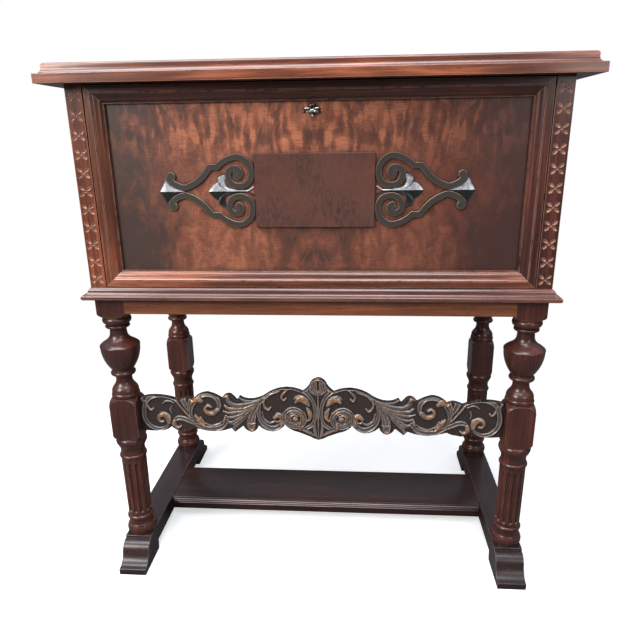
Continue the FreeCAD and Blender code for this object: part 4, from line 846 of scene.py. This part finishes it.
shape = bmesh.new()
shape.from_mesh(carving)
bpy.data.meshes.remove(carving)
bmesh.ops.remove_doubles(shape, verts=shape.verts, dist=1e-5)
loose = [v for v in shape.verts if not v.link_faces]
bmesh.ops.delete(shape, geom=loose, context="VERTS")
for face in shape.faces:
    face.smooth = True
rim_edges = [e for e in shape.edges if e.is_boundary]
walls = bmesh.ops.extrude_edge_only(shape, edges=rim_edges)["geom"]
for vert in (v for v in walls if isinstance(v, bmesh.types.BMVert)):
    vert.co.y = high.y
behind = [e for e in walls if isinstance(e, bmesh.types.BMEdge) and e.is_boundary]
bmesh.ops.triangle_fill(shape, edges=behind, use_beauty=True)
for edge in rim_edges:
    edge.smooth = False
turn_outwards(shape)
print("carved board:", len(shape.faces), "faces,",
      sum(e.is_boundary for e in shape.edges), "open edges")
new_piece("stretcher_carving", shape, "painted carving", "desk", "dark_carving",
          "carved_stretcher")

# %% [markdown]
# ## The scroll frets
#
# Each fret is two flat scroll bands sawn from thin board, with a small chamfer round them,
# and two carved leaves between. The bands could be drawn again as curves, but the measured
# faces already have the right outline: it is read off them, let in by the chamfer's width
# for the front, and carried back to the panel. Each scroll ends in a round boss.

# %% Make the bands from the measured faces
FRET_AXIS = 0.804
PANEL_FACE = -0.200
CHAMFER = 0.0007
BOSS_STEP = 0.0001  # a boss stands back from its band by this much
BOSSES = [(0.1375, 0.032, 0.0090), (0.2605, 0.0265, 0.0080)]  # place across and up, radius


def lofted(shape, rings, smooth=False):
    """Skin a closed solid over rings of spots and return the rings' vertices."""
    rings = [[shape.verts.new(spot) for spot in ring] for ring in rings]
    for before, after in zip(rings, rings[1:]):
        for i in range(len(before)):
            quad = (before[i - 1], before[i], after[i], after[i - 1])
            shape.faces.new(quad).smooth = smooth
    shape.faces.new(rings[0][::-1])
    shape.faces.new(rings[-1])
    return rings


def circle(radius, count):
    turns = np.linspace(0, 2 * pi, count, endpoint=False)
    return [(radius * cos(a), radius * sin(a)) for a in turns]


def let_in(outline, width):
    """The outline, given anticlockwise, moved inwards by a width with mitred corners."""
    before, after = np.roll(outline, 1, 0), np.roll(outline, -1, 0)
    first, second = outline - before, after - outline
    first /= np.linalg.norm(first, axis=1)[:, None]
    second /= np.linalg.norm(second, axis=1)[:, None]
    left = np.stack([-first[:, 1] - second[:, 1], first[:, 0] + second[:, 0]], 1)
    left /= np.maximum(np.linalg.norm(left, axis=1)[:, None], 1e-6)
    mitre = np.maximum(left[:, 1] * first[:, 0] - left[:, 0] * first[:, 1], 0.45)
    return outline + left * (width / mitre)[:, None]


def raised(shape, outline, thick):
    """A flat board on the panel with this outline and a chamfer round its front."""
    front = let_in(outline, CHAMFER)
    lofted(shape, [[(px, PANEL_FACE - out, pz) for px, pz in edge]
                   for edge, out in ((outline, 0), (outline, thick - CHAMFER), (front, thick))])


def fret_bands(name, side):
    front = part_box(name)[0].y
    bands = outlines_of(name, join=3e-4)
    shape = bmesh.new()
    for outline in bands:
        raised(shape, outline / 1000, PANEL_FACE - front)
    for across, up, radius in BOSSES:
        for way in (1, -1):
            middle = (side * across, FRET_AXIS + way * up)
            raised(shape, np.array(circle(radius, 40)) + middle, PANEL_FACE - front - BOSS_STEP)
    turn_outwards(shape)
    # The chamfers all round get a pale pink: rubbed paint, and a painted highlight along the edges.
    rubbed = [0.8 * (abs(f.normal.y) < 0.95 and f.calc_center_median().y < front + CHAMFER)
              for f in shape.faces]
    print(name, "bands:", len(bands), "open edges:", sum(e.is_boundary for e in shape.edges))
    piece = new_piece(name + "_bands", shape, "fret paint", "fall", slot_of[name], name)
    mark(piece.data, "gilt", "FACE", rubbed)
    mark(piece.data, "proud_sheen_and_shade", "FACE", [0.5] * len(rubbed))


fret_bands("left_fret", -1)
fret_bands("right_fret", 1)

# %% [markdown]
# The leaves are carved to a sharp rib. The upper half of each leaf gets a painted sheen that
# grows from the edge to the rib, and the lower half stays black. Each lobe is a strip between
# its edge and its rib; a point is its distance from the middle, its height above the axis and
# how far it stands off the panel, in millimetres.

# %% Carve the leaves between the bands
LOBES = [
    # edge and rib of the leaf by the tablet: its long lobe, the curled one and a small prong
    ("193.3,0.4,0.8 190,5.5,1 186,10,1.2 181,13.6,1.2 175.5,16.5,1.2 169,12,1.2 160,7.5,1.2 "
     "150,4.6,1.2 136,2.6,1.2 121,1.8,1.2",
     "193.5,0,1 190,0,2.3 186,0,2.8 181,0,2.9 175.5,0,2.9 169,0,2.9 160,0,2.9 150,0,2.8 "
     "136,0,2.6 121,0,2.4"),
    ("158,3.4,2.4 166,6.6,2.7 172,11,2.9 175.8,17,2.9 175.2,22.5,2.8 171,26.6,2.6 164,28.6,2.4 "
     "157,27.5,2.2",
     "150,2.4,1.6 156,4.5,1.4 160,8,1.1 162.5,12.5,1 163.5,17,1 163,21,1.1 160,23.5,1.3 "
     "156,24,1.5"),
    ("121.5,1.7,1.4 116,6,1.2 111.8,9.6,0.9", "121.5,0,2.4 115,3.6,1.8 109.4,6.4,1"),
    # the leaf at the outer end
    ("283.2,0.4,0.8 277,11.6,1 270.8,23.6,0.9 268,18,1.1 263,11.6,1.1 256,6.6,1.1 247,3.2,1.2 "
     "238,1.4,1.2",
     "283.4,0,1 279,0,2.4 274,0,2.8 269,0,2.8 263,0,2.8 256,0,2.6 247,0,2.4 238,0,2.2"),
]
SLOPE_START, SLOPE_RISE = 0.12, 0.35  # share of the way to the rib, and rise in millimetres
# Painted sheen on the five corners of a lobe's section: edge, inner edge, rib, back of the rib,
# back of the edge.
PAINTED_SHEEN = (0.0, 0.55, 1.0, 1.0, 0.0)  # on the five corners of a lobe's section


def lobe(shape, sheen_layer, edge, rib, side, up):
    """A closed solid between an edge and a rib, standing on the panel."""
    rings = []
    for (ex, ez, ey), (rx, rz, ry) in zip(spots(edge), spots(rib)):
        ix, iz = ex + (rx - ex) * SLOPE_START, ez + (rz - ez) * SLOPE_START
        corners = [(ex, ez, ey), (ix, iz, ey + SLOPE_RISE), (rx, rz, ry), (rx, rz, 0), (ex, ez, 0)]
        rings.append([(side * x / 1000, PANEL_FACE - y / 1000, FRET_AXIS + up * z / 1000)
                      for x, z, y in corners])
    for ring in lofted(shape, rings):
        for vert, share in zip(ring, PAINTED_SHEEN):
            # Only the upper lobes get the painted sheen.
            vert[sheen_layer] = share if up > 0 else 0.0


def fret_leaves(name, side):
    shape = bmesh.new()
    # The painted sheen goes into the gilt attribute, which the paint reads as its metal colour.
    sheen_layer = shape.verts.layers.float.new("gilt")
    for edge, rib in LOBES:
        for up in (1, -1):
            lobe(shape, sheen_layer, edge, rib, side, up)
    turn_outwards(shape)
    print(name, "faces:", len(shape.faces))
    piece = new_piece(name, shape, "silvered leaf paint", "fall", slot_of["left_fret"])
    mark(piece.data, "proud_sheen_and_shade", "POINT", [0.5] * len(piece.data.vertices))


fret_leaves("left_fret_leaves", -1)
fret_leaves("right_fret_leaves", 1)

# %% [markdown]
# ## Crosses punched into the corner posts
#
# Eleven small crosses run down each post. A carver makes one with four cuts of a hollow
# gouge and a dot from a punch, so four long ellipsoids and a small ball are taken out of
# the post. A picture of a cross would stay flat, while cut hollows catch light and dirt.
# The Boolean modifier leaves the ellipsoids' own colour, bared wood, in the cuts.

# %% Cut the crosses
CROSSES, CROSS_PITCH, CROSS_TOP, CROSS_X = 11, 0.0324, 0.9685, 0.416
CUT_OUT, CUT_TURN = (0.0066, 0.0052), radians(38)  # from the cross's middle, across and up
CUT_SIZE, DOT_SIZE = (0.0050, 0.0024, 0.0024), (0.0021, 0.0016, 0.0021)
POST_EDGE = 0.0006


def ellipsoid(shape, place, radii, around, rings, turn=Matrix()):
    matrix = Matrix.Translation(place) @ turn @ Matrix.Diagonal((*radii, 1))
    bmesh.ops.create_uvsphere(shape, u_segments=around, v_segments=rings, radius=1, matrix=matrix)


def punched(name, side):
    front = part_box(name)[0].y
    cuts = bmesh.new()
    for row in range(CROSSES):
        middle = Vector((side * CROSS_X, front, CROSS_TOP - CROSS_PITCH * row))
        for across, up in ((1, 1), (-1, 1), (-1, -1), (1, -1)):
            place = middle + Vector((CUT_OUT[0] * across, 0, CUT_OUT[1] * up))
            turn = Matrix.Rotation(-CUT_TURN * across * up, 4, "Y")
            ellipsoid(cuts, place, CUT_SIZE, 20, 10, turn)
        ellipsoid(cuts, middle, DOT_SIZE, 14, 8)
    tool = new_mesh("gouge cuts", cuts, "walnut bared by the gouge")
    piece = eased(name, POST_EDGE)
    cut = piece.modifiers.new("gouge cuts", "BOOLEAN")
    cut.operation, cut.solver, cut.material_mode = "DIFFERENCE", "EXACT", "TRANSFER"
    cut.object = tool
    carved = bpy.data.meshes.new_from_object(
        piece.evaluated_get(bpy.context.evaluated_depsgraph_get()))
    piece.modifiers.clear()
    piece.data = carved
    carved.set_sharp_from_angle(angle=SHARP)
    bpy.data.objects.remove(tool)
    print(name, "faces:", len(carved.polygons), "finishes:", [m.name for m in carved.materials])


punched("left_post", -1)
punched("right_post", 1)

# %% [markdown]
# ## Reeds along the shelf
#
# Fine reeds run along both edges of the shelf, rubbed bright by dusting. A scratch stock
# cuts them from the solid; here each is a thin rod sunk halfway into the edge, painted
# almost white, which adds a painted highlight to the rubbing.

# %% Lay the reeds
REEDS = [(5.2, 0.4), (10.6, 1.2), (16.4, 2.6)]  # millimetres below the top and behind the edge
REED_RADIUS, REED_INSET = 0.0016, 0.0005

low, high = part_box("shelf")
shape = bmesh.new()
for below, behind in REEDS:
    for y in (low.y + behind / 1000, high.y - behind / 1000):
        lofted(shape, [[(x, y + across, high.z - below / 1000 + up)
                        for across, up in circle(REED_RADIUS, 16)]
                       for x in (low.x + REED_INSET, high.x - REED_INSET)], smooth=True)
turn_outwards(shape)
new_piece("shelf_reeds", shape, "rubbed reed walnut", "desk", slot_of["shelf"])
print("reeds:", 2 * len(REEDS))

# %% [markdown]
# ## The key's cast bow
#
# The key stays in its lock as a handle. Its bow is cast with swelling leaves, and a turned
# dark ring sits behind it on the plate. Rounded castings are easiest as overlapping
# ellipsoids, as a modeller presses them in wax.

# %% Model the bow's leaves and the ring
# Each swelling's place and three radii in millimetres; one beside the middle has a twin.
BOW = [((0, -232.5, 938.0), (5.5, 3.2, 3.4)), ((0, -231.5, 929.8), (2.2, 2.0, 2.2)),
       ((6.8, -233.0, 936.9), (4.8, 2.6, 2.9))]
# A dark cap over the bow, its stem and the bow's dark ends on each side; the dark ends are painted
# shade, dark iron put where the bow lies in shadow.
CAP_AND_PAINTED_SHADE = [((0, -231.5, 945.4), (6.8, 4.2, 5.2)), ((0, -231.0, 933.0), (1.7, 1.5, 4.0)),
       ((11.6, -236.2, 940.6), (3.6, 1.8, 3.0)), ((13.2, -233.2, 935.4), (2.6, 1.8, 2.0))]
RING_PLACE, RING_RADIUS, RING_THICKNESS = (0, -0.2030, 0.9415), 0.0060, 0.0017


def cast(name, swellings, finish):
    shape = bmesh.new()
    for (x, y, z), radii in swellings:
        for across in {-x, x}:
            ellipsoid(shape, Vector((across, y, z)) / 1000, [r / 1000 for r in radii], 24, 14)
    for face in shape.faces:
        face.smooth = True
    print(name, "faces:", len(shape.faces))
    new_piece(name, shape, finish, "key", slot_of["key"])


cast("key_bow_leaves", BOW, "plain steel")
cast("key_bow_cap", CAP_AND_PAINTED_SHADE, "blackened iron")

bpy.ops.mesh.primitive_torus_add(
    location=RING_PLACE, rotation=(pi / 2, 0, 0), major_radius=RING_RADIUS,
    minor_radius=RING_THICKNESS, major_segments=48, minor_segments=16)
ring = bpy.context.object
ring.name = "key_ring"
ring.data.materials.append(bpy.data.materials["blackened iron"])
bpy.ops.object.shade_smooth()
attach(ring, "fall")

# %% [markdown]
# ## Screws
#
# The lock, the pivot leaves and the strike plate are held by slotted brass screws. A real
# one is turned and its slot sawn last; here a low disc carries two half discs with the slot
# left open between them.

# %% Drive the screws
SCREWS = [
    # body, places of the heads in metres, outward direction, radius
    ("fall", [(x, -0.1835, z) for z in (0.930, 0.979) for x in (0.026, -0.026)], (0, 1, 0), 0.0026),
    ("fall", [(x, -0.1920, z) for x in (-0.3865, 0.3865) for z in (0.7243, 0.7547)],
     (0, 1, 0), 0.0021),
    ("desk", [(x, -0.1867, 0.9870) for x in (-0.0195, 0.0195)], (0, 0, -1), 0.0024),
]
DISC, HALF_DISC = (0, 0.00025), (0.0002, 0.0006)  # heights of their two ends
HALF_DISC_SIZE, SLOT_ANGLE = 0.97, 0.14  # its radius by the head's, and where its arc starts


def disc(shape, matrix, outline, ends):
    lofted(shape, [[matrix @ Vector((x, y, h)) for x, y in outline] for h in ends])


chance = np.random.default_rng(7)
for number, (body, places, outward, radius) in enumerate(SCREWS):
    shape = bmesh.new()
    upright = Vector(outward).to_track_quat("Z", "Y").to_matrix().to_4x4()
    for place in places:
        turned = Matrix.Rotation(chance.uniform(0, pi), 4, "Z")
        matrix = Matrix.Translation(place) @ upright @ turned
        disc(shape, matrix, circle(radius, 28), DISC)
        for side in (1, -1):
            size = side * radius * HALF_DISC_SIZE
            bow = np.linspace(SLOT_ANGLE, pi - SLOT_ANGLE, 14)
            disc(shape, matrix, [(size * cos(a), size * sin(a)) for a in bow], HALF_DISC)
    turn_outwards(shape)
    new_piece(f"screws_{number}", shape, "old brass", body, slot_of["lock_case"])
print("screws:", sum(len(places) for _, places, _, _ in SCREWS))

# %% [markdown]
# ## Floor, light and background
#
# The photograph is cut out on white, in soft daylight. A pale floor keeps the desk's own
# shadow; floor and world are white only to the camera, so the white never lights the wood.
# Away from the desk the floor turns into the white of the world, so no horizon shows. A
# large soft lamp from the upper left, a wide skylight and a weak lamp from the right give
# the mouldings their highlights.

# %% Floor, lamps and world
# These are light values already, so they have four numbers.
WHITE, BLACK = (1, 1, 1, 1), (0, 0, 0, 1)
FLOOR_PAINT = (0.80, 0.80, 0.80, 1)
FLOOR_FOR_LIGHT = (0.14, 0.135, 0.13, 1)  # what the floor throws back at the desk
FLOOR_FADE = (0.5, 1.3)  # metres from the middle, where it begins to turn white and is white
HORIZON, ZENITH = (0.10, 0.10, 0.105, 1), (0.55, 0.60, 0.68, 1)

bpy.ops.mesh.primitive_plane_add(size=40, location=(0, 0, -0.0002))
floor = bpy.context.object
floor.name = "floor"
g, shader = new_material("pale floor")
seen = g.add("LightPath")["Is Camera Ray"]
distance = g.add("VectorMath", {0: g.spot()}, operation="LENGTH")["Value"]
paint = g.blend(g.spread(distance, *FLOOR_FADE), FLOOR_PAINT, BLACK)
glow = g.times(seen, g.spread(distance, *FLOOR_FADE, 0.55, 1.0))
g.feed(shader, {
    "Base Color": g.blend(seen, FLOOR_FOR_LIGHT, paint), "Roughness": 0.95,
    "Specular IOR Level": 0.0, "Emission Color": g.blend(glow, BLACK, WHITE),
    "Emission Strength": 1.0,
})
floor.data.materials.append(bpy.data.materials["pale floor"])


def soft_lamp(name, place, aim, size, power, color=(1, 1, 1)):
    light = bpy.data.lights.new(name, "AREA")
    light.shape = "RECTANGLE"
    light.size, light.size_y = size
    light.energy = power
    light.color = color
    lamp = new_object(name, light)
    lamp.location = place
    lamp.rotation_euler = (Vector(aim) - Vector(place)).to_track_quat("-Z", "Y").to_euler()


soft_lamp("window light", (-2.0, -2.2, 2.0), (0, 0, 0.6), (1.4, 1.4), 80, (1.0, 0.97, 0.94))
soft_lamp("skylight", (-0.3, -0.85, 2.8), (0, -0.3, 0.6), (2.6, 1.3), 96, (0.86, 0.92, 1.0))
soft_lamp("fill light", (1.7, -2.6, 1.6), (0, 0, 0.6), (1.2, 1.2), 14)

world = bpy.data.worlds.new("soft daylight")
bpy.context.scene.world = world
world.use_nodes = True
g = Graph(world.node_tree)
seen = g.add("LightPath")["Is Camera Ray"]
height = g.add("SeparateXYZ", {0: g.add("TexCoord")["Generated"]})[2]
daylight = g.blend(g.spread(height, 0.15, 0.85), HORIZON, ZENITH)
g.feed(g.tree.nodes["Background"], {"Color": g.blend(seen, daylight, WHITE)})
bpy.context.scene.view_settings.view_transform = "Standard"
